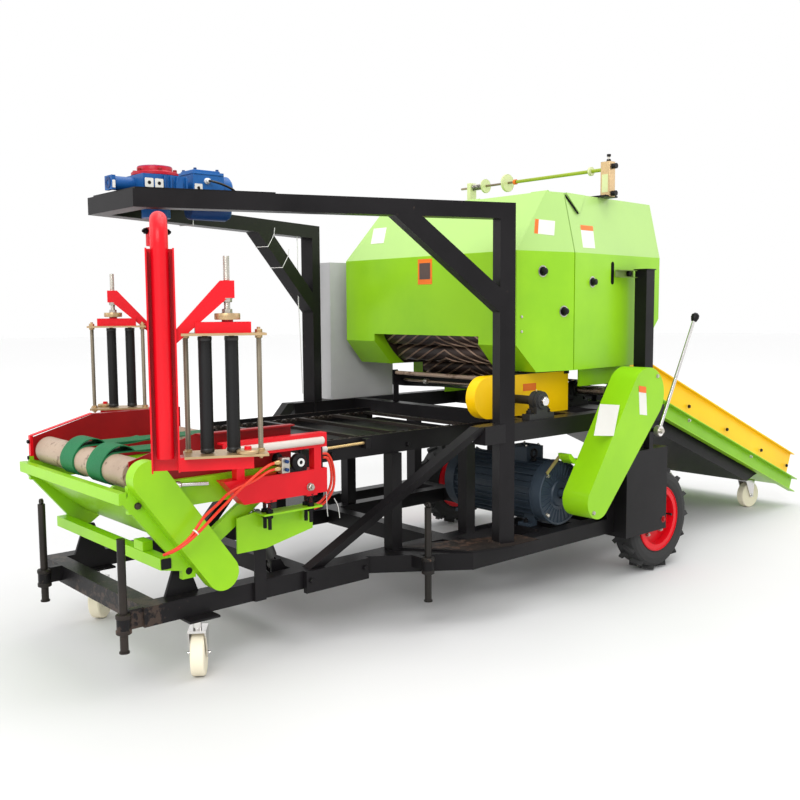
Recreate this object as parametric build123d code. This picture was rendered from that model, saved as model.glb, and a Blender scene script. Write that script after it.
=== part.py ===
"""Small silage round baler with an integrated bale wrapper, in millimetres.

+X runs from the wrapping table towards the feed conveyor, +Z is up and the ground is Z = 0.
Every feature is placed in the drafting frame, whose X = 0 is the outer face of the front cross
beam and whose Y = 0 is the middle of the frame. The whole machine is then moved so that the
centre of its footprint is the origin.
"""

import os
from collections import namedtuple
from math import atan2, cos, hypot, pi, radians, sin

from build123d import *

SIDES = (-1, 1)
NEAR = -1
FAR = 1
Point = namedtuple("Point", "a b")

# Welded base frame
rail = 65.0
rail_bottom = 214.0
rail_top = rail_bottom + rail
front_half = 421.0
wide_half = 659.0
flare_start = 900.0
flare_end = 1230.0
wide_end = 2120.0
narrow_end = wide_end + 640.0
narrow_cross_x = (600.0, narrow_end - rail)
wide_cross_x = (1300.0, wide_end - rail)
sleeve_start = 610.0
sleeve_end = 895.0
sleeve_wall = 20.0
sleeve_drop = 14.0
gusset = 6.0
gusset_start = 1040.0
gusset_end = 1560.0
gusset_out = 50.0
gusset_tip_x = 1396.0

# Gantry
beam_top = 1605.0
beam_height = 60.0
beam_bottom = beam_top - beam_height
post_x = 1385.0
post_y = 650.0
tip_x = 125.0
tip_half = 179.0
brace_along = 430.0
brace_back = 320.0
brace_low = beam_top - 415.0
brace_high = beam_top - 321.0
plate_inset = 15.0
plate_end = 590.0
plate_half = 320.0
plate_deep = 8.0
seat_gap = 0.3

# Upper side beams that carry the baler
mid_bottom = 684.0
mid_top = 757.0
mid_start = 1295.0
mid_end = wide_end + 380.0
upright = 50.0
conveyor_upright_x = (1030.0, 1435.0)
back_upright_x = mid_end - 50.0
brace_foot_x = 640.0
brace_head_x = 1265.0
brace_width = 50.0
brace_long = 62.0
feed_arm = 40.0
feed_arm_reach = 55.0

# Road wheels
axle_x = wide_end + 290.0
tyre_radius = 238.5
tyre_carcass = 225.0
track_half = 652.0
lug_rows = 15
lug_width = 20.0
lug_length = 58.0
lug_skew = 40.0
lug_root = 205.0
tyre_profile = (
    Point(42.5, 127.3),
    Point(42.5, 150.0),
    Point(52.0, 165.0),
    Point(56.0, 186.0),
    Point(53.0, 208.0),
    Point(44.0, 220.0),
)
rim_profile = (
    Point(48.0, 148.0),
    Point(43.0, 148.0),
    Point(43.0, 127.0),
)
rim_wall = 5.0
dish_offset = 10.0
dish_wall = 6.0
hub_radius = 38.0
hub_half = 45.0
hub_cap = 10.0
stub_radius = 20.0
stub_end_gap = 1.0
running_gap = 0.05
stub_flange = 8.0
stub_flange_half = 45.0
hub_bolt_count = 4
hub_bolt_circle = 62.0
hub_bolt_radius = 8.0
hub_bolt_height = 9.0

# Casters
caster_radius = 75.0
caster_width = 44.0
caster_trail = 30.0
caster_plate = 55.0
plate_wall = 7.0
fork_wall = 5.0
fork_gap = 3.0
fork_crown_gap = 8.0
fork_crown = 8.0
fork_half = 24.0
pin_radius = 6.0
swivel_radius = 14.0
swivel_gap = 0.3
Caster = namedtuple("Caster", "name x y heading mount")

# Screw jack legs
jack_radius = 13.0
jack_sleeve_radius = 22.0
jack_sleeve_height = 62.0
jack_gap = 0.5
jack_bracket_half = 12.0
jack_bite = 3.0
jack_arm = 100.0
Jack = namedtuple("Jack", "name x y bottom top sleeve ring")
jacks = (
    Jack("jack_leg_front_far", -60.0, 250.0, 155.0, 514.0, 212.0, True),
    Jack("jack_leg_front_near", -60.0, -400.0, 141.0, 505.0, 204.0, False),
    Jack("jack_leg_side", 1050.0, -600.0, 115.0, 472.0, 222.0, True),
)
jack_ring_radius = 11.0
jack_ring_hole = 6.0
jack_ring_half = 5.0

# Baler shell
sheet = 8.0
shell_seam = 1900.0
shell_front = shell_seam - 315.0
shell_rear = shell_seam + 710.0
mid_cross_x = (shell_seam - 240.0, mid_end - 120.0)
shell_front_half = 555.0
shell_seam_half = 600.0
shell_rear_half = 545.0
shell_low = 941.0
panel_bottom = 1087.0
panel_fold = 1437.0
shell_top = 1690.0
shell_top_front = shell_seam - 100.0
roof_lean = 62.0
seam_gap = 6.0
chamfer_x = shell_front + 107.0
chamfer_z = 1053.0
rear_low_x = shell_rear - 90.0
rear_low_z = 1060.0
rear_high_z = 1150.0
shell_margin = 20.0
mouth_half = 370.0
skirt_start = shell_seam + 115.0
skirt_end = shell_seam + 520.0
skirt_half = 540.0
skirt_low = 862.0
skirt_high = 1001.0
skirt_foot = shell_seam + 340.0
skirt_lean = 40.0
hinge_radius = 9.0
hinge_rise = 10.0
hinge_leaf = 30.0
hinge_gap = 1.0
hinge_reach = 40.0
hinge_pin = 5.0
hinge_bore = hinge_pin + 0.05
hinge_door_y = (-420.0, -15.0, 390.0)
cheek_inner = 342.0
cheek_wall = 6.0
door_cheek = 90.0
base_cheek_end = shell_seam + 180.0
base_cheek_drop = 70.0

# Baler chamber rollers and lower shafts
chamber_x = shell_seam + 85.0
chamber_z = 1270.0
chamber_ring = 345.0
chamber_half = 335.0
roller_radius = 44.0
roller_shaft = 14.0
roller_stub = 6.0
chamber_angles = {"a": 196.0, "b": 213.0, "c": 230.0, "d": 262.0, "e": 278.0}
door_rollers = ("a", "b", "c")
base_rollers = ("d", "e")

# Pan, bar and shaft under the chamber
pan_half = 330.0
pan_wall = 6.0
pan_start = mid_cross_x[0] + 25.0
pan_end = mid_cross_x[1] + 50.0
pan_outline = (
    (pan_start, 840.0),
    (pan_start, 912.0),
    (pan_start + 30.0, 912.0),
    (pan_start + 45.0, 889.0),
    (pan_end, 818.0),
    (pan_end, 775.0),
    (pan_start + 75.0, 830.0),
)
pan_sheet_start = pan_start + 80.0
pan_sheet = ((pan_sheet_start, 845.0), (pan_end, 790.0), (pan_end, 784.0), (pan_sheet_start, 839.0))
pan_legs = ((pan_start + 5.0, pan_start + 37.0, 860.0), (pan_end - 38.0, pan_end - 6.0, 800.0))
crop_bar = Point(pan_start + 15.0, 898.0)
crop_bar_radius = 8.0
stop_shaft = Point(pan_start + 67.0, 862.0)
stop_shaft_radius = 6.0
stop_collar_radius = 11.0
stop_collar_y = (150.0, 172.0)

# Belt guard, motor and drive shaft
guard_inner = wide_half
guard_deep = 130.0
guard_top = Point(wide_end + 55.0, 830.0)
guard_top_radius = 118.0
guard_low = Point(conveyor_upright_x[1] + 400.0, 412.0)
guard_low_radius = 74.0
guard_sheet = 4.0
motor_z = 418.0
motor_radius = 125.0
motor_near = 585.0
motor_far = 20.0
fin_count = 28
fin_height = 12.0
fin_width = 4.0
bell_length = 55.0
bell_radius = 137.0
fin_root = 4.0
fin_gap = 6.0
motor_shaft_reach = 60.0
motor_bar = 60.0
motor_bar_x = (guard_low.a - 135.0, guard_low.a + 75.0)
foot_start = 75.0
foot_half = 128.0
foot_web = 92.0
foot_height = 14.0
foot_long = 60.0
foot_inset = 62.0
terminal_half = 55.0
terminal_inset = 140.0
terminal_height = 60.0
shaft_radius = 18.0
bearing_half = 40.0
bearing_wide = 40.0
bearing_foot = 76.0
bearing_neck = 34.0
bearing_foot_high = 24.0
drive_bearing_y = (392.0, 606.0)
drive_shaft_end = 362.0
sprocket_shaft_x = shell_seam - 260.0
sprocket_bearing_y = 627.0

# Yellow chain guard
chain_guard_start = shell_seam - 500.0
chain_guard_end = shell_seam + 90.0
chain_guard_near = 500.0
chain_guard_deep = 50.0
chain_guard_top = 930.0
chain_guard_sheet = 4.0
chain_guard_stay_x = (chain_guard_start + 160.0, chain_guard_end - 110.0)

# Box fender and lever by the near road wheel
fender_end = wide_end + 310.0
fender_near = 725.0
fender_far = 600.0
fender_bottom = 195.0
fender_top = 575.0
fender_wall = 5.0
lever_x = wide_end + 180.0
lever_z = 660.0
lever_y = 762.0
lever_post = 30.0
lever_pin = 9.0
lever_hub = 22.0
lever_hub_half = 12.0
lever_radius = 8.0
lever_top = Point(lever_x + 274.0, lever_z + 500.0)
knob_radius = 17.0

# Lock post and link
lock_x = mid_end - 165.0
lock_y = 630.0
lock_width = 62.0
lock_top = 1372.0
link_reach = 130.0

# Slat conveyor
slat_half = 400.0
slat_start = 690.0
slat_end = 1600.0
slat_bottom = 655.0
slat_top = 730.0
slat_wall = 6.0
slat_flange = 40.0
chain_half = 330.0
slat_level = 712.0
slat_pitch = 190.0
slat_bar = 22.0
slat_bar_height = 12.0
chain_width = 18.0
chain_height = 16.0
chain_inset = 20.0
chain_foot = 60.0
slat_floor = slat_bottom + 30.0
slat_floor_wall = 3.0
slat_floor_inset = 40.0
slat_bearer = 40.0
slat_bearer_x = (750.0, 1125.0, 1500.0)

# Feed conveyor
feed_slope = 21.9
feed_top = Point(mid_end - 20.0, mid_top + 115.0)
feed_end_x = feed_top.a + 1775.0
feed_half = 430.0
feed_channel = 82.0
feed_board = 136.0
feed_flange = 35.0
feed_wall = 5.0
feed_bed = 48.0
feed_inset = 20.0
feed_belt_wall = 8.0
feed_length = (feed_end_x - feed_top.a) / cos(radians(feed_slope))
board_short = 70.0
board_lip = 20.0
belt_side_gap = 8.0
belly_inset = 20.0
belly_start = 120.0
belly_end = 1560.0
belly_low_start = 420.0
belly_low_end = 1430.0
belly_deep = 148.0
stub_half = 30.0
feed_caster_x = feed_end_x - 265.0
feed_caster_y = 288.0
feed_caster_plate = 32.0

# Control cabinet
cabinet_start = 1534.0
cabinet_end = 1940.0
cabinet_near = 620.0
cabinet_far = 815.0
cabinet_bottom = mid_top
cabinet_top = 1434.0
cabinet_wall = 4.0
cabinet_door = 18.0
cabinet_gap = 2.0
cabinet_pin = 4.0
cabinet_knuckle = 8.0
cabinet_ear = 30.0
cabinet_hinge_z = (850.0, 1300.0)
cabinet_hinge = Point(cabinet_start - cabinet_knuckle + 1.0, cabinet_far + cabinet_gap + cabinet_door / 2)
shelf_deep = 30.0
shelf_inset = 16.0

# Twine device
twine_x = shell_seam + 300.0
twine_z = shell_top + 124.0
twine_foot = 44.0
twine_foot_wall = 8.0
TwinePost = namedtuple("TwinePost", "near far half top")
twine_posts = (
    TwinePost(-565.0, -517.0, 20.0, shell_top + 155.0),
    TwinePost(286.0, 308.0, 22.0, shell_top + 146.0),
)
Turned = namedtuple("Turned", "start end radius")
twine_row = (
    Turned(-517.0, 369.0, 5.0),
    Turned(-517.0, -5.0, 7.5),
    Turned(-455.0, -443.0, 19.0),
    Turned(-5.0, 10.0, 12.0),
    Turned(48.0, 60.0, 42.0),
    Turned(196.0, 204.0, 34.0),
    Turned(215.0, 286.0, 13.0),
)
twine_screw = 5.0
twine_screw_y = -545.0
twine_screw_top = shell_top + 178.0
twine_head = 9.0
twine_head_top = twine_screw_top + 10.0
twine_knobs = (Point(-565.0, twine_z + 10.0), Point(-565.0, shell_top + 16.0))
twine_knob_radius = 12.0
twine_knob_long = 22.0

# Wrapping arm
arm_x = 297.0
arm_heading = 243.4
arm_leg = 729.0
arm_tube = 25.0
arm_level = beam_top - 140.0
arm_bend = 70.0
arm_low = 742.0
unit_centre = 723.0
unit_start = 52.0
unit_end = 290.0
unit_half = 62.0
unit_plate = 6.0
unit_bottom = 785.0
unit_top = beam_top - 471.0
film_roller_radius = 19.5
film_roller_places = (119.0, 195.0)
film_pin = 8.0
roller_end_gap = 3.0
film_rod_places = (66.0, 274.0)
film_rod_radius = 7.0
film_rod_shift = 35.0
film_foot = Point(40.0, 232.0)
film_foot_radius = 20.0
film_foot_high = 12.0
spindle_y = 185.0
spindle_top = unit_top + 226.0
spindle_radius = 8.0
spindle_neck = 6.5
disc_boss = 16.0
disc_boss_high = 6.0
disc_radius = 36.0
disc_high = 18.0
carrier_half = 30.0
carrier_inset = 40.0
carrier_low = 40.0
carrier_high = 32.0
strut_half = 15.0
strut_notch = 20.0
strut_foot = unit_top - 22.0
strut_deep = 40.0
strut_end = 206.0
strut_head = unit_top + 116.0
strut_drop = 10.0
arm_channel = 80.0
arm_channel_deep = 46.0
arm_channel_top = arm_level - 85.0
arm_wall = 5.0
arm_foot = 40.0
arm_hub = 38.0
arm_hub_half = 32.0
arm_shaft = 24.0
arm_shaft_rise = 45.0
arm_flange_radius = 50.0
arm_flange_low = beam_bottom - 15.0
gearbox_half = 84.0
gearbox_wide = 78.0
gearbox_high = 60.0
gearbox_centre = 28.0
gearbox_pad = 26.0
gearbox_pad_wall = 10.0
gearbox_pad_place = (-52.0, 48.0)
gearbox_input = 24.0
gearbox_reach = 160.0
gearbox_flange = 28.0
gearbox_flange_wall = 14.0
gearbox_cover = (Point(80.0, 72.0), Point(60.0, 94.0), Point(12.0, 101.0))
second_start = 118.0
second_end = 244.0
second_wide = 58.0
second_high = 88.0
second_tail = 288.0
second_tail_radius = 38.0

# Wrapping table
table_half = 420.0
table_pivot = Point(160.0, 366.0)
table_front = Point(20.0, 690.0)
table_rear = Point(520.0, 690.0)
table_roller_radius = 50.0
table_roller_half = 365.0
table_shaft = 14.0
belt_places = (-158.0, 65.0)
belt_width = 106.0
belt_wall = 4.0
belt_gap = 0.3
table_plate_half = 395.0
table_plate_wall = 5.0
plate_below = 60.0
plate_above = 118.0
plate_rise = 25.0
plate_before = 45.0
plate_after = 60.0
plate_flange = 5.0
plate_flat_x = 210.0
table_wall = 5.0
lip_before = 65.0
lip_deep = 25.0
lip_low = 613.0
lip_high = 650.0
sheet_low = 440.0
front_bar = 38.0
front_bar_x = 60.0
front_bar_z = 386.0
rear_bar_x = 440.0
rear_bar_z = 580.0
lug_radius = 24.0
table_pin = 12.0
bracket_half = 60.0
bracket_wall = 12.0
guard_shift = 8.0
table_guard_low = Point(258.0, 350.0)
table_guard_radius = 58.0
table_guard_deep = 50.0
table_tilt = 12.0

# Tilt cylinder
tilt_y = -300.0
tilt_foot = Point(560.0, 290.0)
tilt_top = Point(459.0, 545.0)
tilt_eye = 17.0
tilt_eye_half = 12.0
tilt_side_gap = 2.0
tilt_lug = 20.0
tilt_lug_wall = 8.0
tilt_pin = 8.0
tilt_play = 1.5
tilt_barrel = 27.0
tilt_barrel_start = 34.0
tilt_barrel_end = 215.0
tilt_bore_start = 60.0
tilt_rod_radius = 12.0

# Film beam beside the table
film_near = 440.0
film_sheet = 6.0
film_start = 330.0
film_end = 640.0
film_low = 395.0
film_step = 120.0
film_lip = 40.0
film_shelf = 526.0
film_deep = 60.0
film_post_x = 400.0
film_post_wide = 45.0
film_post_wall = 6.0
film_wide = 50.0
film_beam_start = 252.0
film_beam_end = 665.0
film_beam_low = 570.0
film_beam_top = 655.0
film_chamfer = 75.0
film_rail_top = 780.0
film_rail_high = 50.0
film_rail_deep = 36.0
film_stay = 30.0
film_stay_x = (300.0, 610.0)
film_bolt = 6.0
film_bolt_x = (430.0, 600.0)
film_bolt_inset = 10.0


def block(x0, x1, y0, y1, z0, z1):
    """Box between two corners."""
    centre = Pos((x0 + x1) / 2, (y0 + y1) / 2, (z0 + z1) / 2)
    return centre * Box(abs(x1 - x0), abs(y1 - y0), abs(z1 - z0))


def prism_y(points, y0, y1):
    """Polygon of X, Z points between two Y planes."""
    face = make_face(Polyline(*[(x, y0, z) for x, z in points], close=True))
    return extrude(face, amount=abs(y1 - y0), dir=(0, 1 if y1 > y0 else -1, 0))


def prism_x(points, x0, x1):
    """Polygon of Y, Z points between two X planes."""
    face = make_face(Polyline(*[(x0, y, z) for y, z in points], close=True))
    return extrude(face, amount=abs(x1 - x0), dir=(1 if x1 > x0 else -1, 0, 0))


def prism_z(points, z0, z1):
    """Polygon of X, Y points between two Z planes."""
    face = make_face(Polyline(*[(x, y, z0) for x, y in points], close=True))
    return extrude(face, amount=abs(z1 - z0), dir=(0, 0, 1 if z1 > z0 else -1))


def rod(start, end, radius):
    """Round bar between two points."""
    start, end = Vector(*start), Vector(*end)
    plane = Plane(origin=start, z_dir=end - start)
    return extrude(plane * Circle(radius), amount=(end - start).length)


def tube(start, end, outer, inner):
    """Round tube between two points."""
    start, end = Vector(*start), Vector(*end)
    plane = Plane(origin=start, z_dir=end - start)
    return extrude(plane * (Circle(outer) - Circle(inner)), amount=(end - start).length)


def fuse(pieces):
    """All pieces as one shape."""
    pieces = list(pieces)
    whole = pieces[0]
    for piece in pieces[1:]:
        whole = whole + piece
    return whole


def mirrored(shape):
    """The same piece on the other side of the machine."""
    return mirror(shape, about=Plane.XZ)


def both(shape):
    """A piece and its mirror image."""
    return [shape, mirrored(shape)]


# Base frame
def flare():
    """Slanted rail between the narrow and the wide part, on the near side."""
    run = flare_end - flare_start
    rise = wide_half - front_half
    slip = rail * hypot(run, rise) / rise
    inner = wide_half - rail
    reach = (inner - front_half) * run / rise
    return prism_z(
        (
            (flare_start, -front_half),
            (flare_end, -wide_half),
            (flare_end + rail, -wide_half),
            (flare_end + rail, -inner),
            (flare_start + slip + reach, -inner),
            (flare_start + slip, -front_half),
        ),
        rail_bottom,
        rail_top,
    )


def gusset_plate():
    """Plate over the flare that carries the gantry post, on the near side."""
    return prism_z(
        (
            (gusset_start, -front_half + rail / 2),
            (flare_end, -wide_half),
            (gusset_tip_x, -wide_half - gusset_out),
            (gusset_end, -wide_half - gusset_out),
            (gusset_end, -wide_half + rail),
        ),
        rail_top,
        rail_top + gusset,
    )


def chassis():
    pieces = [block(0, rail, -front_half, front_half, rail_bottom, rail_top)]
    for x in narrow_cross_x:
        pieces.append(block(x, x + rail, -front_half, front_half, rail_bottom, rail_top))
    for x in wide_cross_x:
        pieces.append(block(x, x + rail, -wide_half, wide_half, rail_bottom, rail_top))
    for side in SIDES:
        inner = side * (front_half - rail)
        pieces.append(block(rail, narrow_end, inner, side * front_half, rail_bottom, rail_top))
        inner = side * (wide_half - rail)
        pieces.append(block(flare_end, wide_end, inner, side * wide_half, rail_bottom, rail_top))
        outer = side * (front_half + sleeve_wall)
        low = rail_bottom - sleeve_drop
        pieces.append(block(sleeve_start, sleeve_end, side * front_half, outer, low, rail_top))
    pieces += both(flare())
    pieces += both(gusset_plate())
    for x in motor_bar_x:
        pieces.append(block(x, x + motor_bar, -wide_half + rail, -front_half + rail, rail_bottom, rail_top))
    pieces += axle_stubs()
    pieces += [caster_mount(row) for row in casters if row.mount == rail_bottom]
    pieces += [jack_sleeve(jack) for jack in jacks]
    pieces += table_brackets()
    pieces += [film_post(), cylinder_lug()]
    return fuse(pieces)


# Gantry
def gantry_side():
    """Post, roof beam and brace of the near side, in one upright plane."""
    run = hypot(post_x - tip_x, post_y - tip_half)
    along = Vector((tip_x - post_x) / run, (post_y - tip_half) / run)
    inward = Vector(along.Y, -along.X)
    corner = Vector(post_x, -post_y)
    back = corner - along * rail

    def at(base, shift):
        point = base + inward * shift
        return (point.X, point.Y)

    tip = corner + along * run
    beam = prism_z((at(back, 0), at(tip, 0), at(tip, rail), at(back, rail)), beam_bottom, beam_top)
    post = prism_z(
        (at(back, 0), at(corner, 0), at(corner, rail), at(back, rail)), rail_top + gusset, beam_bottom
    )
    shape = (
        (brace_along, beam_bottom),
        (brace_back, beam_bottom),
        (0, brace_high),
        (0, brace_low),
    )
    points = [corner + along * s + Vector(0, 0, z) for s, z in shape]
    face = make_face(Polyline(*points, close=True))
    brace = extrude(face, amount=rail, dir=inward)
    return beam + post + brace


def gantry():
    pieces = both(gantry_side())
    pieces.append(block(tip_x, tip_x + rail, -tip_half, tip_half, beam_bottom, beam_top))
    plate = prism_z(
        (
            (tip_x + plate_inset, -tip_half + plate_inset),
            (plate_end, -plate_half),
            (plate_end, plate_half),
            (tip_x + plate_inset, tip_half - plate_inset),
        ),
        beam_top,
        beam_top + plate_deep,
    )
    hole = rod((arm_x, 0, beam_top), (arm_x, 0, beam_top + plate_deep), arm_flange_radius + seat_gap)
    pieces.append(plate - hole)
    return fuse(pieces)


def long_brace(side):
    """Slanted bar from the narrow rail up and out to the end of the upper side beam."""
    foot = block(
        brace_foot_x, brace_foot_x + brace_long, side * (front_half - brace_width), side * front_half, 0, 1
    )
    face = foot.faces().sort_by(Axis.Z)[-1]
    shift = side * (wide_half - front_half)
    lift = Vector(brace_head_x - brace_foot_x, shift, mid_top - rail_top)
    return extrude(Pos(0, 0, rail_top - 1) * face, amount=lift.length, dir=lift)


def chamber_pan():
    """Sheet under the bale chamber with its side bands, legs, crop bar and stop shaft."""
    pieces = [prism_y(pan_sheet, -pan_half, pan_half)]
    for side in SIDES:
        outer = side * pan_half
        inner = side * (pan_half - pan_wall)
        pieces.append(prism_y(pan_outline, inner, outer))
        for start, end, high in pan_legs:
            pieces.append(block(start, end, inner, outer, mid_top, high))
    pieces.append(
        rod((crop_bar.a, -pan_half, crop_bar.b), (crop_bar.a, pan_half, crop_bar.b), crop_bar_radius)
    )
    x, z = stop_shaft
    pieces.append(rod((x, -pan_half, z), (x, pan_half, z), stop_shaft_radius))
    pieces.append(rod((x, stop_collar_y[0], z), (x, stop_collar_y[1], z), stop_collar_radius))
    return fuse(pieces)


def mid_frame(gantry_shape):
    """Upper side beams, their uprights and the long braces."""
    pieces = []
    for side in SIDES:
        inner = side * (wide_half - rail)
        outer = side * wide_half
        pieces.append(block(mid_start, mid_end, inner, outer, mid_bottom, mid_top))
        x = wide_end - upright
        pieces.append(block(x, wide_end, inner, outer, rail_top, mid_bottom))
        inner = side * (front_half - upright)
        outer = side * front_half
        for x in conveyor_upright_x:
            pieces.append(block(x, x + upright, inner, outer, rail_top, slat_bottom))
        x = back_upright_x
        pieces.append(block(x, x + upright, inner, outer, rail_top, mid_top))
        pieces.append(long_brace(side))
        pieces.append(block(back_upright_x, mid_end, inner, side * wide_half, mid_bottom, mid_top))
        arm = side * (front_half - feed_arm)
        under = feed_place() * block(0, feed_length, arm, outer, -slat_half, -feed_bed - feed_wall - seat_gap)
        pieces.append(
            under & block(mid_end - upright, mid_end + feed_arm_reach, arm, outer, mid_bottom, beam_top)
        )
    for x in mid_cross_x:
        pieces.append(block(x, x + rail, -wide_half, wide_half, mid_bottom, mid_top))
    half = lock_width / 2
    pieces.append(block(lock_x, lock_x + lock_width, -lock_y - half, -lock_y + half, mid_top, lock_top))
    pieces.append(drive_rail())
    pieces.append(chamber_pan())
    pieces += chain_guard_stays()
    pieces.append(cabinet_shelf())
    return fuse(pieces) - gantry_shape



# Road wheels
def around(profile, x, z, y):
    """Ring turned about a Y axis from Y offset and radius points, mirrored about its middle."""
    points = [(p.a, p.b) for p in profile]
    points += [(-p.a, p.b) for p in reversed(profile)]
    face = make_face(Polyline(*[(0, a, b) for a, b in points], close=True))
    return Pos(x, y, z) * revolve(face, axis=Axis.Y)


def tyre(side):
    carcass = around(tyre_profile + (Point(0.1, tyre_carcass),), 0, 0, 0)
    step = 360 / lug_rows
    lug_top = tyre_radius + lug_width / 4
    middle = lug_length / 2 * cos(radians(lug_skew))
    lugs = []
    for row in range(lug_rows):
        for half in SIDES:
            turn = (row + half / 4) * step
            lean = Rot(0, 0, half * lug_skew)
            lug = lean * Box(lug_width, lug_length, lug_top - lug_root)
            lugs.append(Rot(0, turn, 0) * Pos(0, half * middle, (lug_top + lug_root) / 2) * lug)
    width = tyre_profile[3].a
    band = tube((0, -width, 0), (0, width, 0), tyre_radius, lug_root)
    whole = carcass
    for lug in lugs:
        whole = whole + (lug & band)
    return Pos(axle_x, side * track_half, tyre_radius) * Rot(0, step / 4, 0) * whole


def rim(side):
    """Drop-centre rim, dish and hub with a closed outer end."""
    inner = rim_profile[2].b - rim_wall
    barrel = tube((0, -48.0, 0), (0, 48.0, 0), rim_profile[2].b, inner)
    for y in SIDES:
        barrel = barrel + tube((0, y * 43.2, 0), (0, y * 48.0, 0), rim_profile[0].b, inner)
    dish_y = side * dish_offset
    dish = tube((0, dish_y, 0), (0, dish_y + side * dish_wall, 0), inner, hub_radius)
    hub = tube((0, -hub_half, 0), (0, hub_half, 0), hub_radius, stub_radius + running_gap)
    cap = rod((0, side * hub_half, 0), (0, side * (hub_half + hub_cap), 0), hub_radius)
    whole = barrel + dish + hub + cap
    for number in range(hub_bolt_count):
        turn = 2 * pi * (number + 0.5) / hub_bolt_count
        x, z = hub_bolt_circle * cos(turn), hub_bolt_circle * sin(turn)
        start = dish_y + side * dish_wall
        whole = whole + rod((x, start, z), (x, start + side * hub_bolt_height, z), hub_bolt_radius)
    return Pos(axle_x, side * track_half, tyre_radius) * whole


def axle_stubs():
    """Stub axles with their flanges on the narrow rails."""
    pieces = []
    half = stub_flange_half
    for side in SIDES:
        root = side * front_half
        tip = side * (track_half + hub_half - stub_end_gap)
        flange = side * (front_half + stub_flange)
        pieces.append(rod((axle_x, root, tyre_radius), (axle_x, tip, tyre_radius), stub_radius))
        pieces.append(block(axle_x - half, axle_x + half, root, flange, rail_bottom, rail_top))
    return pieces


# Casters
def caster_axis(caster):
    lead = radians(caster.heading)
    return caster.x - caster_trail * cos(lead), caster.y - caster_trail * sin(lead)


def caster_place(caster):
    return Pos(caster.x, caster.y, 0) * Rot(0, 0, caster.heading)


def caster_fork(caster):
    """Swivel fork under its mounting plate, rolling along local X."""
    trail = -caster_trail
    out = caster_width / 2 + fork_gap + fork_wall
    inner = caster_width / 2 + fork_gap
    crown = 2 * caster_radius + fork_crown_gap
    top = crown + fork_crown
    pieces = [block(trail - fork_half, fork_half, -out, out, crown, top)]
    for side in SIDES:
        cheek = prism_y(
            (
                (-fork_half / 2, caster_radius - fork_half / 2),
                (fork_half / 2, caster_radius - fork_half / 2),
                (fork_half, crown),
                (trail - fork_half, crown),
            ),
            side * inner,
            side * out,
        )
        pieces.append(cheek)
    pieces.append(rod((trail, 0, top), (trail, 0, caster.mount - plate_wall - swivel_gap), swivel_radius))
    pin_y = out + plate_wall
    pieces.append(rod((0, -pin_y, caster_radius), (0, pin_y, caster_radius), pin_radius))
    return caster_place(caster) * fuse(pieces)


def caster_wheel(caster):
    half = caster_width / 2
    wheel = tube((0, -half, 0), (0, half, 0), caster_radius, pin_radius + running_gap)
    wheel = chamfer(wheel.edges().filter_by(GeomType.CIRCLE).sort_by(SortBy.RADIUS)[-2:], 4.0)
    return caster_place(caster) * Pos(0, 0, caster_radius) * wheel


def caster_mount(caster):
    x, y = caster_axis(caster)
    half = caster_plate
    low = caster.mount - plate_wall
    return block(x - half, x + half, y - half, y + half, low, caster.mount)


casters = (
    Caster("caster_front_near", 204.0, -392.0, 54.0, rail_bottom),
    Caster("caster_front_far", 210.0, 396.0, 44.0, rail_bottom),
    Caster("caster_feed_near", feed_caster_x, -feed_caster_y, -8.0, 207.0),
    Caster("caster_feed_far", feed_caster_x, feed_caster_y, 5.0, 207.0),
)


# Jack legs
def jack_leg(jack):
    leg = rod((jack.x, jack.y, jack.bottom), (jack.x, jack.y, jack.top), jack_radius)
    if jack.ring:
        z = jack.top + jack_ring_radius - 2
        eye = tube(
            (jack.x - jack_ring_half, jack.y, z),
            (jack.x + jack_ring_half, jack.y, z),
            jack_ring_radius,
            jack_ring_hole,
        )
        leg = leg + eye
    return leg


def jack_sleeve(jack):
    low, high = jack.sleeve, jack.sleeve + jack_sleeve_height
    inner = jack_radius + jack_gap
    sleeve = tube((jack.x, jack.y, low), (jack.x, jack.y, high), jack_sleeve_radius, inner)
    half = jack_bracket_half
    near = jack_sleeve_radius - jack_bite
    if jack.x < 0:
        arm = block(jack.x + near, rail / 2, jack.y - half, jack.y + half, low + half, rail_top)
    else:
        arm = block(jack.x - half, jack.x + half, jack.y + near, jack.y + jack_arm, low + half, rail_top)
    return sleeve + arm


# Baler shell
def roof_cut(side, start, end, fold, top):
    """Wedge outside the leaning upper sheet over one side panel, whose fold runs from start to end."""
    run = end.a - start.a
    slope = (end.b - start.b) / run
    x = start.a - shell_margin
    half = start.b - slope * shell_margin
    rise = top - fold + shell_margin
    lean = roof_lean * rise / (top - fold)
    outer = half + shell_margin + roof_lean
    corners = ((half, fold), (half - lean, fold + rise), (outer, fold + rise), (outer, fold))
    face = make_face(Polyline(*[(x, side * y, z) for y, z in corners], close=True))
    along = Vector(1, side * slope, 0) * (run + 2 * shell_margin)
    return extrude(face, amount=along.length, dir=along)


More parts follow.
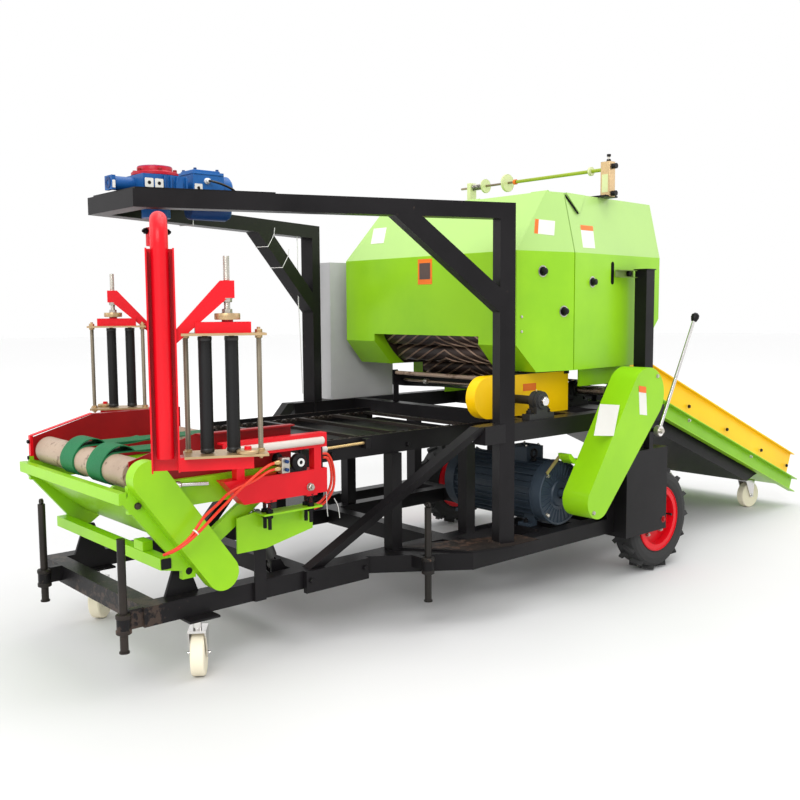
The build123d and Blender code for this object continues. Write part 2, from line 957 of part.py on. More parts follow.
def shell_block(grow, low, fold, top):
    """Faceted shell body: plan, side and front outlines that meet."""
    plan = prism_z(
        (
            (shell_front - grow, -shell_front_half - grow),
            (shell_seam, -shell_seam_half - grow),
            (shell_rear + grow, -shell_rear_half - grow),
            (shell_rear + grow, shell_rear_half + grow),
            (shell_seam, shell_seam_half + grow),
            (shell_front - grow, shell_front_half + grow),
        ),
        low,
        top,
    )
    side = prism_y(
        (
            (shell_front - grow, chamfer_z),
            (shell_front - grow, fold),
            (shell_top_front - grow / 2, top),
            (shell_rear + grow, top),
            (shell_rear + grow, rear_high_z),
            (rear_low_x, rear_low_z),
            (skirt_end, low),
            (chamfer_x, low),
        ),
        -shell_seam_half - shell_margin,
        shell_seam_half + shell_margin,
    )
    body = plan & side
    folds = (
        Point(shell_front, shell_front_half + grow),
        Point(shell_seam, shell_seam_half + grow),
        Point(shell_rear, shell_rear_half + grow),
    )
    for near in SIDES:
        for start, end in zip(folds, folds[1:]):
            body = body - roof_cut(near, start, end, fold, top)
    return body


def baler_shell():
    """Hollow sheet body, open below."""
    outer = shell_block(0, shell_low, panel_fold, shell_top)
    inner = shell_block(-sheet, shell_low - 1, panel_fold - sheet / 2, shell_top - sheet)
    return outer - inner


def slab(x0, x1):
    """Everything between two X planes."""
    return block(x0, x1, -shell_seam_half - shell_margin, shell_seam_half + shell_margin, 0, 2 * shell_top)


SHELL = baler_shell()
hinge_x = shell_seam
hinge_z = shell_top + hinge_rise


def roller_holes(names):
    """Bores for the chosen chamber rollers through both cheeks."""
    radius = roller_shaft + running_gap
    bores = []
    for name in names:
        x, z = chamber_place(chamber_angles[name])
        end = cheek_inner + 2 * cheek_wall
        for side in SIDES:
            bores.append(rod((x, side * (cheek_inner - cheek_wall), z), (x, side * end, z), radius))
    return bores


def knuckles(places, reach, bore):
    """Hinge tubes over the seam."""
    pieces = []
    for y in places:
        pieces.append(tube((hinge_x, y, hinge_z), (hinge_x, y + hinge_leaf, hinge_z), hinge_radius, bore))
        low = shell_top - sheet
        pieces.append(
            block(hinge_x + reach, hinge_x, y, y + hinge_leaf, low, hinge_z)
            - rod((hinge_x, y, hinge_z), (hinge_x, y + hinge_leaf, hinge_z), hinge_radius - 1)
        )
    return pieces


def door():
    """Front of the baler shell, which swings up over the conveyor."""
    end = shell_seam - seam_gap / 2
    body = SHELL & slab(shell_front - shell_margin, end)
    mouth = block(
        shell_front - shell_margin, chamfer_x, -mouth_half, mouth_half, shell_low - shell_margin, panel_bottom
    )
    slope = (
        (shell_front, chamfer_z),
        (shell_front, panel_bottom),
        (shell_front + cheek_wall, panel_bottom),
        (shell_front + cheek_wall, chamfer_z + cheek_wall / 2),
        (chamfer_x + cheek_wall, shell_low + cheek_wall),
        (end, shell_low + cheek_wall),
        (end, shell_low),
        (chamfer_x, shell_low),
    )
    outline = (
        (shell_front, chamfer_z),
        (shell_front, panel_bottom),
        (shell_front + door_cheek, panel_fold - door_cheek),
        (end, panel_fold - door_cheek),
        (end, shell_low),
        (chamfer_x, shell_low),
    )
    pieces = [body - mouth]
    for side in SIDES:
        inner = side * cheek_inner
        pieces.append(prism_y(outline, inner, side * (cheek_inner + cheek_wall)))
        slanted = prism_y(slope, inner, side * shell_seam_half)
        pieces.append(slanted & shell_block(0, shell_low, panel_fold, shell_top))
    pieces += knuckles(hinge_door_y, -hinge_reach, hinge_bore)
    return fuse(pieces) - fuse(roller_holes(door_rollers))


def chamber_place(angle):
    return (
        chamber_x + chamber_ring * cos(radians(angle)),
        chamber_z + chamber_ring * sin(radians(angle)),
    )


def chamber_roller(name):
    """Roller with its end shafts."""
    x, z = chamber_place(chamber_angles[name])
    core = rod((x, -chamber_half, z), (x, chamber_half, z), roller_radius)
    end = cheek_inner + cheek_wall + roller_stub
    return core + rod((x, -end, z), (x, end, z), roller_shaft)


def rear_shell():
    """Rear of the baler shell with its feet, cheeks and hinge pins."""
    start = shell_seam + seam_gap / 2
    pieces = [SHELL & slab(start, shell_rear + shell_margin)]
    foot = (
        (skirt_start, skirt_low),
        (skirt_start, skirt_high),
        (skirt_end - skirt_lean, skirt_high),
        (skirt_end, mid_top),
        (skirt_foot, mid_top),
        (skirt_foot, skirt_low),
    )
    outline = (
        (start, shell_low - base_cheek_drop),
        (start, panel_fold - door_cheek),
        (base_cheek_end, panel_fold - door_cheek),
        (base_cheek_end, shell_low - base_cheek_drop),
    )
    for side in SIDES:
        outer = side * skirt_half
        pieces.append(prism_y(foot, side * (skirt_half - sheet), outer))
        ledge = block(start + sheet, skirt_end - skirt_lean, side * (skirt_half - sheet), side * shell_seam_half, shell_low, shell_low + cheek_wall)
        pieces.append(ledge & shell_block(0, shell_low, panel_fold, shell_top))
        inner = side * cheek_inner
        pieces.append(prism_y(outline, inner, side * (cheek_inner + cheek_wall)))
        web = block(start + sheet, start + sheet + cheek_wall, inner, side * (skirt_half - sheet), shell_low, skirt_high)
        pieces.append(web)
    for y in hinge_door_y:
        pieces += knuckles((y - hinge_leaf - hinge_gap, y + hinge_leaf + hinge_gap), hinge_reach, hinge_pin)
        ends = hinge_leaf + hinge_gap
        pieces.append(rod((hinge_x, y - ends, hinge_z), (hinge_x, y + ends + hinge_leaf, hinge_z), hinge_pin))
    return fuse(pieces) - fuse(roller_holes(base_rollers))


# Chamber rollers, drive and guards
def capsule(first, first_radius, second, second_radius, y0, y1):
    """Plate whose outline is two round ends joined by straight sides."""
    span = hypot(second.a - first.a, second.b - first.b)
    heading = atan2(second.b - first.b, second.a - first.a)
    spread = pi / 2 + atan2(first_radius - second_radius, span) * -1
    points = []
    for turn in (spread, -spread):
        for centre, radius in ((first, first_radius), (second, second_radius)):
            angle = heading + turn
            points.append((centre.a + radius * cos(angle), centre.b + radius * sin(angle)))
    quad = prism_y((points[0], points[1], points[3], points[2]), y0, y1)
    ends = [
        rod((centre.a, y0, centre.b), (centre.a, y1, centre.b), radius)
        for centre, radius in ((first, first_radius), (second, second_radius))
    ]
    return quad + ends[0] + ends[1]


def belt_guard():
    """Tapered obround cover, open towards the frame."""
    near = -guard_inner - guard_deep
    outer = capsule(guard_top, guard_top_radius, guard_low, guard_low_radius, near, -guard_inner)
    inner = capsule(
        guard_top,
        guard_top_radius - guard_sheet,
        guard_low,
        guard_low_radius - guard_sheet,
        near + guard_sheet,
        -guard_inner + 1,
    )
    back = capsule(
        guard_top, guard_top_radius - 1, guard_low, guard_low_radius - 1, -guard_inner - guard_sheet, -guard_inner
    )
    holes = rod((guard_low.a, -700, guard_low.b), (guard_low.a, -600, guard_low.b), 40)
    holes += rod((guard_top.a, -700, guard_top.b), (guard_top.a, -600, guard_top.b), 40)
    return (outer - inner) + (back - holes)


def motor():
    """Finned electric motor on its feet, with the shaft into the belt guard."""
    x, z = guard_low.a, motor_z
    near, far = -motor_near, -motor_far
    pieces = [rod((x, near, z), (x, far, z), motor_radius)]
    pieces.append(rod((x, near, z), (x, near + bell_length, z), bell_radius))
    pieces.append(rod((x, far - bell_length, z), (x, far, z), bell_radius))
    depth = fin_height + fin_root
    length = far - near - 2 * bell_length - 2 * fin_gap
    for number in range(fin_count):
        fin = Pos(motor_radius + fin_height - depth / 2, 0, 0) * Box(depth, length, fin_width)
        pieces.append(Pos(x, (near + far) / 2, z) * Rot(0, 360 * number / fin_count, 0) * fin)
    pieces.append(rod((x, near, z), (x, -guard_inner - motor_shaft_reach, z), shaft_radius))
    low = rail_top
    high = z - motor_radius / 2
    for side in SIDES:
        start = x + side * foot_start
        end = x + side * foot_half
        for y in (near + foot_inset, far - foot_inset - foot_long):
            pieces.append(block(start, end, y, y + foot_long, low, low + foot_height))
            pieces.append(block(start, x + side * foot_web, y, y + foot_long, low, high))
    side = terminal_half
    y = near + terminal_inset
    pieces.append(block(x - side, x + side, y, y + 2 * side, z + motor_radius - fin_root, z + motor_radius + terminal_height))
    return fuse(pieces)


def pillow_block(x, y, z):
    """Bearing block on the upper beams with its shaft along Y."""
    wide = bearing_wide / 2
    housing = rod((x, y - wide, z), (x, y + wide, z), bearing_half)
    neck = block(x - bearing_neck, x + bearing_neck, y - wide, y + wide, mid_top, z)
    low = mid_top + bearing_foot_high
    base = block(x - bearing_foot, x + bearing_foot, y - wide, y + wide, mid_top, low)
    return housing + neck + base


def drive():
    """Input shaft and sprocket shaft with their bearings."""
    x, z = guard_top.a, guard_top.b
    pieces = [rod((x, -guard_inner - motor_shaft_reach, z), (x, -drive_shaft_end, z), shaft_radius)]
    pieces += [pillow_block(x, -y, z) for y in drive_bearing_y]
    x = sprocket_shaft_x
    pieces.append(
        rod((x, -sprocket_bearing_y - bearing_wide, z), (x, -slat_half - seat_gap, z), shaft_radius)
    )
    pieces.append(pillow_block(x, -sprocket_bearing_y, z))
    return Compound(children=[fuse(pieces[:3]), fuse(pieces[3:])])


def drive_rail():
    """Cross plate under the inner drive bearing."""
    half = bearing_foot + seat_gap
    x = guard_top.a
    return block(x - half, x + half, -wide_half + rail, -drive_shaft_end, mid_bottom, mid_top)


def chain_guard():
    """Round-nosed cover over the chain of the slat conveyor, on a stay from the side beam."""
    low = mid_top
    near = -chain_guard_near
    far = near + chain_guard_deep
    radius = (chain_guard_top - low) / 2
    x = chain_guard_start + radius
    z = low + radius
    wall = chain_guard_sheet
    outer = block(x, chain_guard_end, near, far, low, chain_guard_top) + rod(
        (x, near, z), (x, far, z), radius
    )
    inner = block(x, chain_guard_end - wall, near + wall, far, low + wall, chain_guard_top - wall)
    inner += rod((x, near + wall, z), (x, far, z), radius - wall)
    hole = rod(
        (sprocket_shaft_x, near, guard_top.b), (sprocket_shaft_x, far, guard_top.b), shaft_radius + seat_gap
    )
    return outer - inner - hole


def chain_guard_stays():
    """Flat bars from the side beam to the chain guard."""
    far = -chain_guard_near + chain_guard_deep
    return [block(x, x + upright, -wide_half + rail, far, mid_bottom, mid_top) for x in chain_guard_stay_x]


def fender():
    """Box fender over the near road wheel, on the end of the wide rail, with the lever post."""
    near, far = -fender_near, -fender_far
    top, wall = fender_top, fender_wall
    front = block(wide_end, wide_end + wall, near, far, fender_bottom, top)
    side = block(wide_end, fender_end, near, near + wall, fender_bottom, top)
    roof = block(wide_end, fender_end, near, far, top - wall, top)
    x = lever_x - lever_post / 2
    post = block(x, x + lever_post, near, near + lever_post, top, lever_z + lever_hub)
    pin = rod((lever_x, near, lever_z), (lever_x, -lever_y - lever_hub_half, lever_z), lever_pin)
    return fuse([front, side, roof, post, pin])


def lever():
    base = (lever_x, -lever_y, lever_z)
    top = (lever_top.a, -lever_y, lever_top.b)
    hub = rod(
        (lever_x, -lever_y - lever_hub_half, lever_z), (lever_x, -lever_y + lever_hub_half, lever_z), lever_hub
    )
    hole = rod(
        (lever_x, -lever_y - 2 * lever_hub_half, lever_z),
        (lever_x, -lever_y + 2 * lever_hub_half, lever_z),
        lever_pin + running_gap,
    )
    return (hub + rod(base, top, lever_radius) + Pos(*top) * Sphere(knob_radius)) - hole


# Conveyors
def slat_rails():
    pieces = []
    for side in SIDES:
        web = side * slat_half
        inner = side * (slat_half - slat_wall)
        lip = side * (slat_half - slat_flange)
        pieces.append(block(slat_start, slat_end, inner, web, slat_bottom, slat_top))
        pieces.append(block(slat_start, slat_end, lip, inner, slat_bottom, slat_bottom + slat_wall))
    inner = slat_half - slat_wall
    for x in slat_bearer_x:
        pieces.append(block(x, x + slat_bearer, -inner, inner, slat_bottom + slat_wall, slat_floor))
    track = chain_half + chain_width / 2
    floor = block(
        slat_start + slat_floor_inset, slat_end, -track, track, slat_floor, slat_floor + slat_floor_wall
    )
    pieces.append(floor)
    return fuse(pieces)


def slat_chain():
    """Two roller chains with the slats between them."""
    pieces = []
    low = slat_level - chain_height / 2
    high = slat_level + chain_height / 2
    bottom = slat_floor + slat_floor_wall
    for side in SIDES:
        inner = side * (chain_half - chain_width / 2)
        outer = side * (chain_half + chain_width / 2)
        pieces.append(block(slat_start + chain_inset, slat_end - chain_inset, inner, outer, low, high))
        for x in (slat_start + chain_foot, slat_end - chain_foot):
            pieces.append(block(x - slat_bar / 2, x + slat_bar / 2, inner, outer, bottom, low))
    span = slat_end - slat_start - 2 * chain_foot
    y = chain_half - chain_width / 2
    for number in range(int(span // slat_pitch) + 1):
        x = slat_start + chain_foot + number * slat_pitch
        pieces.append(
            block(x - slat_bar / 2, x + slat_bar / 2, -y, y, slat_level, slat_level + slat_bar_height)
        )
    return fuse(pieces)


def feed_place():
    return Pos(feed_top.a, 0, feed_top.b) * Rot(0, feed_slope, 0)


def feed_trough():
    """Side channels with the bed between them and the stubs of the rear casters."""
    pieces = []
    inner = feed_half - feed_wall
    for side in SIDES:
        web = side * feed_half
        lip = side * (feed_half + feed_flange)
        pieces.append(block(0, feed_length, side * inner, web, -feed_channel, 0))
        pieces.append(block(0, feed_length, web, lip, -feed_wall, 0))
        pieces.append(block(0, feed_length, web, lip, -feed_channel, -feed_channel + feed_wall))
    pieces.append(
        block(feed_inset, feed_length - feed_inset, -inner, inner, -feed_bed - feed_wall, -feed_bed)
    )
    whole = [feed_place() * fuse(pieces)]
    below = feed_place() * block(0, feed_length, -feed_half, feed_half, -slat_half, -feed_bed)
    for row in casters:
        if row.mount != rail_bottom:
            x, y = caster_axis(row)
            half = feed_caster_plate
            low = row.mount - plate_wall
            whole.append(block(x - half, x + half, y - half, y + half, low, row.mount))
            post = block(x - stub_half, x + stub_half, y - stub_half, y + stub_half, low, feed_top.b)
            whole.append(post & below)
    return fuse(whole)


def feed_belly():
    """Black wedge-shaped pan under the feed trough."""
    half = feed_half - feed_wall - belly_inset
    outline = (
        (belly_start, -feed_bed - feed_wall),
        (belly_end, -feed_bed - feed_wall),
        (belly_low_end, -belly_deep),
        (belly_low_start, -belly_deep),
    )
    return feed_place() * prism_y(outline, -half, half)


def feed_boards():
    """Yellow side boards inside the channels."""
    pieces = []
    wall = feed_half - feed_wall
    for side in SIDES:
        web = side * wall
        inner = side * (wall - feed_wall)
        lip = side * (feed_half + board_lip)
        pieces.append(
            block(0, feed_length - board_short, inner, web, -feed_bed, feed_board)
            + block(0, feed_length - board_short, web, lip, feed_board - feed_wall, feed_board)
        )
    return feed_place() * Compound(children=pieces)


def feed_belt():
    """Flat belt on the bed of the trough."""
    half = feed_half - 2 * feed_wall - belt_side_gap
    return feed_place() * block(
        2 * feed_inset, feed_length - 2 * feed_inset, -half, half, -feed_bed, -feed_bed + feed_belt_wall
    )


# Cabinet
def cabinet_body():
    """Hollow cabinet open towards its door, with the hinge ears and pins."""
    near, far = cabinet_near, cabinet_far
    wall = cabinet_wall
    body = block(cabinet_start, cabinet_end, near, far, cabinet_bottom, cabinet_top) - block(
        cabinet_start + wall, cabinet_end - wall, near + wall, far, cabinet_bottom + wall, cabinet_top - wall
    )
    x, y = cabinet_hinge
    for low in cabinet_hinge_z:
        high = low + cabinet_ear
        body = body + rod((x, y, low), (x, y, high), cabinet_knuckle)
        body = body + rod((x, y, high), (x, y, high + cabinet_ear), cabinet_pin)
        body = body + block(x - cabinet_knuckle, cabinet_start, far - cabinet_ear, y, low, high)
    return body


def cabinet_leaf():
    """Door on the far face of the cabinet, hung on the ears' pins."""
    y = cabinet_far + cabinet_gap
    leaf = block(cabinet_start + cabinet_gap, cabinet_end, y, y + cabinet_door, cabinet_bottom, cabinet_top)
    x, middle = cabinet_hinge
    for ear in cabinet_hinge_z:
        low = ear + cabinet_ear + seat_gap
        high = low + cabinet_ear
        strap = block(
            x, cabinet_start + 2 * cabinet_gap, middle - cabinet_pin, middle + cabinet_pin, low, high
        )
        bore = rod((x, middle, low), (x, middle, high), cabinet_pin + running_gap)
        leaf = leaf + (tube((x, middle, low), (x, middle, high), cabinet_knuckle, cabinet_pin + running_gap) + (strap - bore))
    return leaf


def cabinet_shelf():
    """Shelf on the far side beam under the cabinet."""
    return block(
        cabinet_start + shelf_inset,
        cabinet_end - shelf_inset,
        wide_half - rail / 2,
        cabinet_far - shelf_inset,
        mid_top - shelf_deep,
        mid_top,
    )


# Twine device
def twine():
    """Cross rod with its rollers and discs, between two upright brackets on the roof."""
    x, z = twine_x, twine_z
    pieces = []
    for post in twine_posts:
        half = post.half
        pieces.append(block(x - half, x + half, post.near, post.far, shell_top, post.top))
        foot = twine_foot
        low = shell_top + twine_foot_wall
        middle = (post.near + post.far) / 2 + foot / 2 * (1 if post.far < 0 else -1)
        pieces.append(block(x - foot, x + foot, middle - foot, middle + foot, shell_top, low))
    for part in twine_row:
        pieces.append(rod((x, part.start, z), (x, part.end, z), part.radius))
    y = twine_screw_y
    pieces.append(rod((x, y, twine_posts[0].top), (x, y, twine_screw_top), twine_screw))
    pieces.append(rod((x, y, twine_screw_top), (x, y, twine_head_top), twine_head))
    for knob in twine_knobs:
        pieces.append(rod((x, knob.a - twine_knob_long, knob.b), (x, knob.a, knob.b), twine_knob_radius))
    return fuse(pieces)


# Wrapping arm
def arm_place(turn):
    return Pos(arm_x, 0, 0) * Rot(0, 0, arm_heading + turn)


def arm_half():
    """Leg, channel, strut and film unit carrier of one end, along local X."""
    bend, z, radius = arm_bend, arm_level, arm_tube
    corner = Pos(arm_leg - bend, 0, z - bend) * Rot(90, 0, 0) * Torus(bend, radius)
    keep = block(arm_leg - bend, arm_leg + 2 * radius, -2 * radius, 2 * radius, z - bend, z + 2 * radius)
    pieces = [
        rod((0, 0, z), (arm_leg - bend, 0, z), radius),
        corner & keep,
        rod((arm_leg, 0, arm_low + arm_foot), (arm_leg, 0, z - bend), radius),
    ]
    back = arm_leg - radius
    half = arm_channel / 2
    pieces.append(block(back - arm_wall, back + 1, -half, half, arm_low, arm_channel_top))
    for side in SIDES:
        edge, inner = side * half, side * (half - arm_wall)
        pieces.append(block(back - arm_wall, back + arm_channel_deep, inner, edge, arm_low, arm_channel_top))
    x, deep = unit_centre, carrier_half
    end = unit_end - carrier_inset
    pieces.append(block(x - deep, x + deep, half, end, unit_bottom - carrier_low, unit_bottom))
    high = unit_top + unit_plate
    pieces.append(block(x - deep, x + deep, unit_start + 2 * strut_notch, end, high, high + carrier_high))
    strut = prism_x(
        (
            (half, strut_foot),
            (half, strut_foot + strut_deep),
            (strut_end - strut_deep, strut_head + strut_deep),
            (strut_end, strut_head + strut_deep),
            (strut_end, strut_head - strut_drop),
            (strut_end - strut_deep / 2, strut_head - strut_drop),
        ),
        x - strut_half,
        x + strut_half,
    )
    pieces.append(strut)
    low = high + carrier_high
    pieces.append(rod((x, spindle_y, low), (x, spindle_y, strut_head), spindle_neck))
    pieces.append(rod((x, spindle_y, strut_head), (x, spindle_y, spindle_top), spindle_radius))
    return fuse(pieces)


def wrap_arm():
    """Turning arm with its hub and shaft, and both film unit carriers."""
    low, high = arm_level - arm_hub_half, arm_level + arm_hub_half
    hub = rod((arm_x, 0, low), (arm_x, 0, high), arm_hub)
    shaft = rod((arm_x, 0, high), (arm_x, 0, beam_top + arm_shaft_rise), arm_shaft)
    half = arm_half()
    return fuse([hub, shaft, arm_place(0) * half, arm_place(180) * half])


def unit_frame():
    """End plates and guide rods of one film unit."""
    pieces = []
    x, half = unit_centre, unit_half
    for low in (unit_bottom, unit_top):
        high = low + unit_plate
        plate = block(x - half, x + half, unit_start, unit_end, low, high)
        for y in film_roller_places:
            plate = plate - rod((x, y, low), (x, y, high), film_pin + running_gap)
        if low == unit_top:
            reach = strut_half + strut_notch / 2
            plate = plate - block(x - reach, x + reach, unit_start, unit_start + 2 * strut_notch, low, high)
        pieces.append(plate)
    for y, shift in zip(film_rod_places, (-film_rod_shift, 0)):
        pieces.append(
            rod((x + shift, y, unit_bottom), (x + shift, y, unit_top + unit_plate), film_rod_radius)
        )
    low = unit_bottom + unit_plate
    pieces.append(rod((x + film_foot.a, film_foot.b, low), (x + film_foot.a, film_foot.b, low + film_foot_high), film_foot_radius))
    return fuse(pieces)


def unit_disc():
    """Friction disc that the film core stands on."""
    low = unit_top + unit_plate + carrier_high + seat_gap
    middle = low + disc_boss_high
    x, y, hole = unit_centre, spindle_y, spindle_neck + seat_gap
    boss = tube((x, y, low), (x, y, middle), disc_boss, hole)
    return boss + tube((x, y, middle), (x, y, middle + disc_high), disc_radius, hole)


def film_roller(turn, y):
    """Rubber film roller with its pins in the end plates."""
    x = unit_centre
    low = unit_bottom + unit_plate + roller_end_gap
    core = rod((x, y, low), (x, y, unit_top - roller_end_gap), film_roller_radius)
    pin = rod((x, y, unit_bottom + seat_gap), (x, y, unit_top + unit_plate - seat_gap), film_pin)
    return arm_place(turn) * (core + pin)


def arm_gearbox():
    """Worm gearbox over the arm with its cover and pads, its input, and the drive gearbox beside it."""
    z = beam_top + plate_deep
    middle = z + gearbox_centre
    half = gearbox_half
    wide = gearbox_wide
    pieces = [block(arm_x - half, arm_x + half, -wide, wide, z, z + gearbox_high)]
    low = z + gearbox_high
    for step in gearbox_cover:
        pieces.append(rod((arm_x, 0, low), (arm_x, 0, z + step.b), step.a))
        low = z + step.b
    for place in gearbox_pad_place:
        x = arm_x + place
        pad = block(
            x - gearbox_pad / 2, x + gearbox_pad / 2, -wide - gearbox_pad_wall, wide + gearbox_pad_wall,
            middle - gearbox_pad / 2, middle + gearbox_pad / 2,
        )
        pieces.append(pad)
    start = arm_x - gearbox_reach
    pieces.append(rod((start, 0, middle), (arm_x - half, 0, middle), gearbox_input))
    flange = gearbox_flange
    pieces.append(
        block(start - gearbox_flange_wall, start, -flange, flange, middle - gearbox_input, middle + gearbox_input)
    )
    x0, x1 = arm_x + second_start, arm_x + second_end
    pieces.append(rod((arm_x + half, 0, middle), (x0, 0, middle), gearbox_input))
    pieces.append(block(x0, x1, -second_wide, second_wide, z, z + second_high))
    middle = z + second_tail_radius
    pieces.append(rod((x1, 0, middle), (arm_x + second_tail, 0, middle), second_tail_radius))
    pieces.append(rod((arm_x, 0, arm_flange_low), (arm_x, 0, z), arm_flange_radius))
    bore = rod(
        (arm_x, 0, arm_flange_low), (arm_x, 0, beam_top + arm_shaft_rise + seat_gap), arm_shaft + running_gap
    )
    return fuse(pieces) - bore


# Wrapping table
def table_roller(place):
    """Roller across the table with its end shafts."""
    core = rod(
        (place.a, -table_roller_half, place.b), (place.a, table_roller_half, place.b), table_roller_radius
    )
    end = table_plate_half + table_plate_wall
    return core + rod((place.a, -end, place.b), (place.a, end, place.b), table_shaft)


def table_sides():
    """Red side plates with the roller bearings and top flanges."""
    low = table_front.b - plate_below
    high = table_front.b + plate_above
    outline = (
        (table_front.a - plate_before, low + plate_rise),
        (table_front.a - plate_before, table_front.b + table_roller_radius),
        (plate_flat_x, high),
        (table_rear.a + plate_after, high),
        (table_rear.a + plate_after, low),
        (table_front.a + plate_before, low),
    )
    solids = []
    for side in SIDES:
        inner = side * table_plate_half
        outer = side * (table_plate_half + table_plate_wall)
        plate = prism_y(outline, inner, outer)
        for place in (table_front, table_rear):
            plate = plate - rod(
                (place.a, inner, place.b), (place.a, outer, place.b), table_shaft + running_gap
            )
        edge = side * (table_half + plate_flange)
        flange = block(plate_flat_x, table_rear.a + plate_after, outer, edge, high - table_plate_wall, high)
        solids.append(plate + flange)
    return Compound(children=solids)


def table_belts():
    """Two flat belts around both rollers."""
    solids = []
    for y in belt_places:
        near, far = y - belt_width / 2, y + belt_width / 2
        radius = table_roller_radius + belt_gap
        outer = capsule(table_front, radius + belt_wall, table_rear, radius + belt_wall, near, far)
        solids.append(outer - capsule(table_front, radius, table_rear, radius, near, far))
    return Compound(children=solids)


def table_frame():
    """Green frame: lip, sloping sheet, side arms, cross bars, end guard and cylinder lug."""
    half = table_half
    low = table_front.b - plate_below
    pivot = table_pivot
    lip_x = table_front.a - lip_before
    front = lip_x + table_wall
    pieces = [
        block(lip_x - lip_deep, lip_x, -half, half, lip_low, lip_high),
        prism_y(
            ((lip_x, lip_low), (lip_x, lip_low + table_wall), (pivot.a, sheet_low + table_wall), (pivot.a, sheet_low)),
            -half,
            half,
        ),
        block(front_bar_x, front_bar_x + front_bar, -half, half, front_bar_z, front_bar_z + front_bar),
        block(rear_bar_x, rear_bar_x + front_bar, -half, half, rear_bar_z, rear_bar_z + front_bar),
    ]
    lug_top = pivot.b + lug_radius
    arm = (
        (lip_x - lip_deep / 2, lip_low),
        (lip_x + lip_deep / 2, lip_high),
        (pivot.a + lug_radius, lug_top + front_bar),
        (pivot.a + lug_radius, pivot.b - lug_radius),
        (pivot.a - lug_radius, pivot.b - lug_radius),
        (pivot.a - lug_radius, pivot.b + lug_radius / 2),
    )
    stay = (
        (pivot.a, pivot.b),
        (pivot.a, lug_top + front_bar),
        (rear_bar_x, rear_bar_z + front_bar),
        (rear_bar_x + front_bar, rear_bar_z + front_bar),
        (rear_bar_x + front_bar, rear_bar_z),
    )
    link = (
        (front_bar_x, front_bar_z),
        (front_bar_x, front_bar_z + front_bar),
        (pivot.a, lug_top + front_bar),
        (pivot.a, pivot.b),
    )
    inner_edge = table_plate_half + table_plate_wall
    for side in SIDES:
        inner, outer = side * inner_edge, side * half
        pieces.append(prism_y(arm, inner, outer))
        pieces.append(prism_y(stay, inner, outer))
        pieces.append(prism_y(link, inner, outer))
        pieces.append(block(front, table_rear.a + plate_after, inner, outer, rear_bar_z, low + front_bar))
    near = -half - table_guard_deep
    start = Point(table_front.a - guard_shift, table_front.b)
    radius = table_guard_radius
    pieces.append(capsule(start, radius, table_guard_low, radius, near, -half))
    pieces.append(cylinder_top_lug())
    bore = table_pin + running_gap
    holes = [
        rod((pivot.a, side * inner_edge, pivot.b), (pivot.a, side * half, pivot.b), bore) for side in SIDES
    ]
    return fuse(pieces) - fuse(holes)


def table_brackets():
    """Pivot brackets with pins on the narrow rails."""
    pivot = table_pivot
    wide, high = bracket_half, pivot.b + lug_radius
    outline = (
        (pivot.a - wide, rail_top),
        (pivot.a + wide, rail_top),
        (pivot.a + wide / 3, high),
        (pivot.a - wide / 3, high),
    )
    pieces = []
    for side in SIDES:
        inner = side * (front_half - rail)
        outer = side * (front_half - rail + bracket_wall)
        pieces.append(prism_y(outline, inner, outer))
        pieces.append(rod((pivot.a, inner, pivot.b), (pivot.a, side * table_half, pivot.b), table_pin))
    return pieces


# Tilt cylinder
def tilt_length():
    return hypot(tilt_top.a - tilt_foot.a, tilt_top.b - tilt_foot.b)


def tilt_place():
    """Frame at the foot pin whose Z axis points to the rod's eye."""
    lean = atan2(tilt_top.a - tilt_foot.a, tilt_top.b - tilt_foot.b)
    return Pos(tilt_foot.a, tilt_y, tilt_foot.b) * Rot(0, lean * 180 / pi, 0)


def cylinder_lug():
    """Fork with the foot pin on the front face of the cross beam."""
    x, z = tilt_foot
    pieces = []
    for side in SIDES:
        inner = tilt_y + side * (tilt_eye_half + tilt_side_gap)
        outer = inner + side * tilt_lug_wall
        outline = (
            (narrow_cross_x[0], rail_bottom),
            (narrow_cross_x[0], rail_top),
            (x + tilt_lug, z + tilt_lug),
            (x - tilt_lug, z + tilt_lug),
            (x - tilt_lug, z - tilt_lug),
        )
        pieces.append(prism_y(outline, inner, outer))
    end = tilt_eye_half + tilt_side_gap + tilt_lug_wall
    pieces.append(rod((x, tilt_y - end, z), (x, tilt_y + end, z), tilt_pin))
    return fuse(pieces)


def cylinder_top_lug():
    """Fork with the upper pin under the rear cross bar of the table."""
    x, z = tilt_top
    pieces = []
    for side in SIDES:
        inner = tilt_y + side * (tilt_eye_half + tilt_side_gap)
        outer = inner + side * tilt_lug_wall
        pieces.append(block(x - tilt_lug, x + tilt_lug, inner, outer, z - tilt_lug, rear_bar_z + tilt_pin))
    end = tilt_eye_half + tilt_side_gap + tilt_lug_wall
    pieces.append(rod((x, tilt_y - end, z), (x, tilt_y + end, z), tilt_pin))
    return fuse(pieces)


def tilt_cylinder():
    """Barrel with its foot eye."""
    half = tilt_eye_half
    eye = rod((0, -half, 0), (0, half, 0), tilt_eye)
    barrel = rod((0, 0, 0), (0, 0, tilt_barrel_end), tilt_barrel)
    keep = block(-tilt_barrel, tilt_barrel, -tilt_barrel, tilt_barrel, tilt_barrel_start, tilt_barrel_end)
    neck = rod((0, 0, 0), (0, 0, tilt_bore_start), tilt_rod_radius)
    bore = rod((0, 0, tilt_bore_start), (0, 0, tilt_barrel_end), tilt_rod_radius + running_gap)
    foot = rod((0, -half, 0), (0, half, 0), tilt_pin + running_gap)
    return tilt_place() * (((barrel & keep) + eye + neck) - bore - foot)


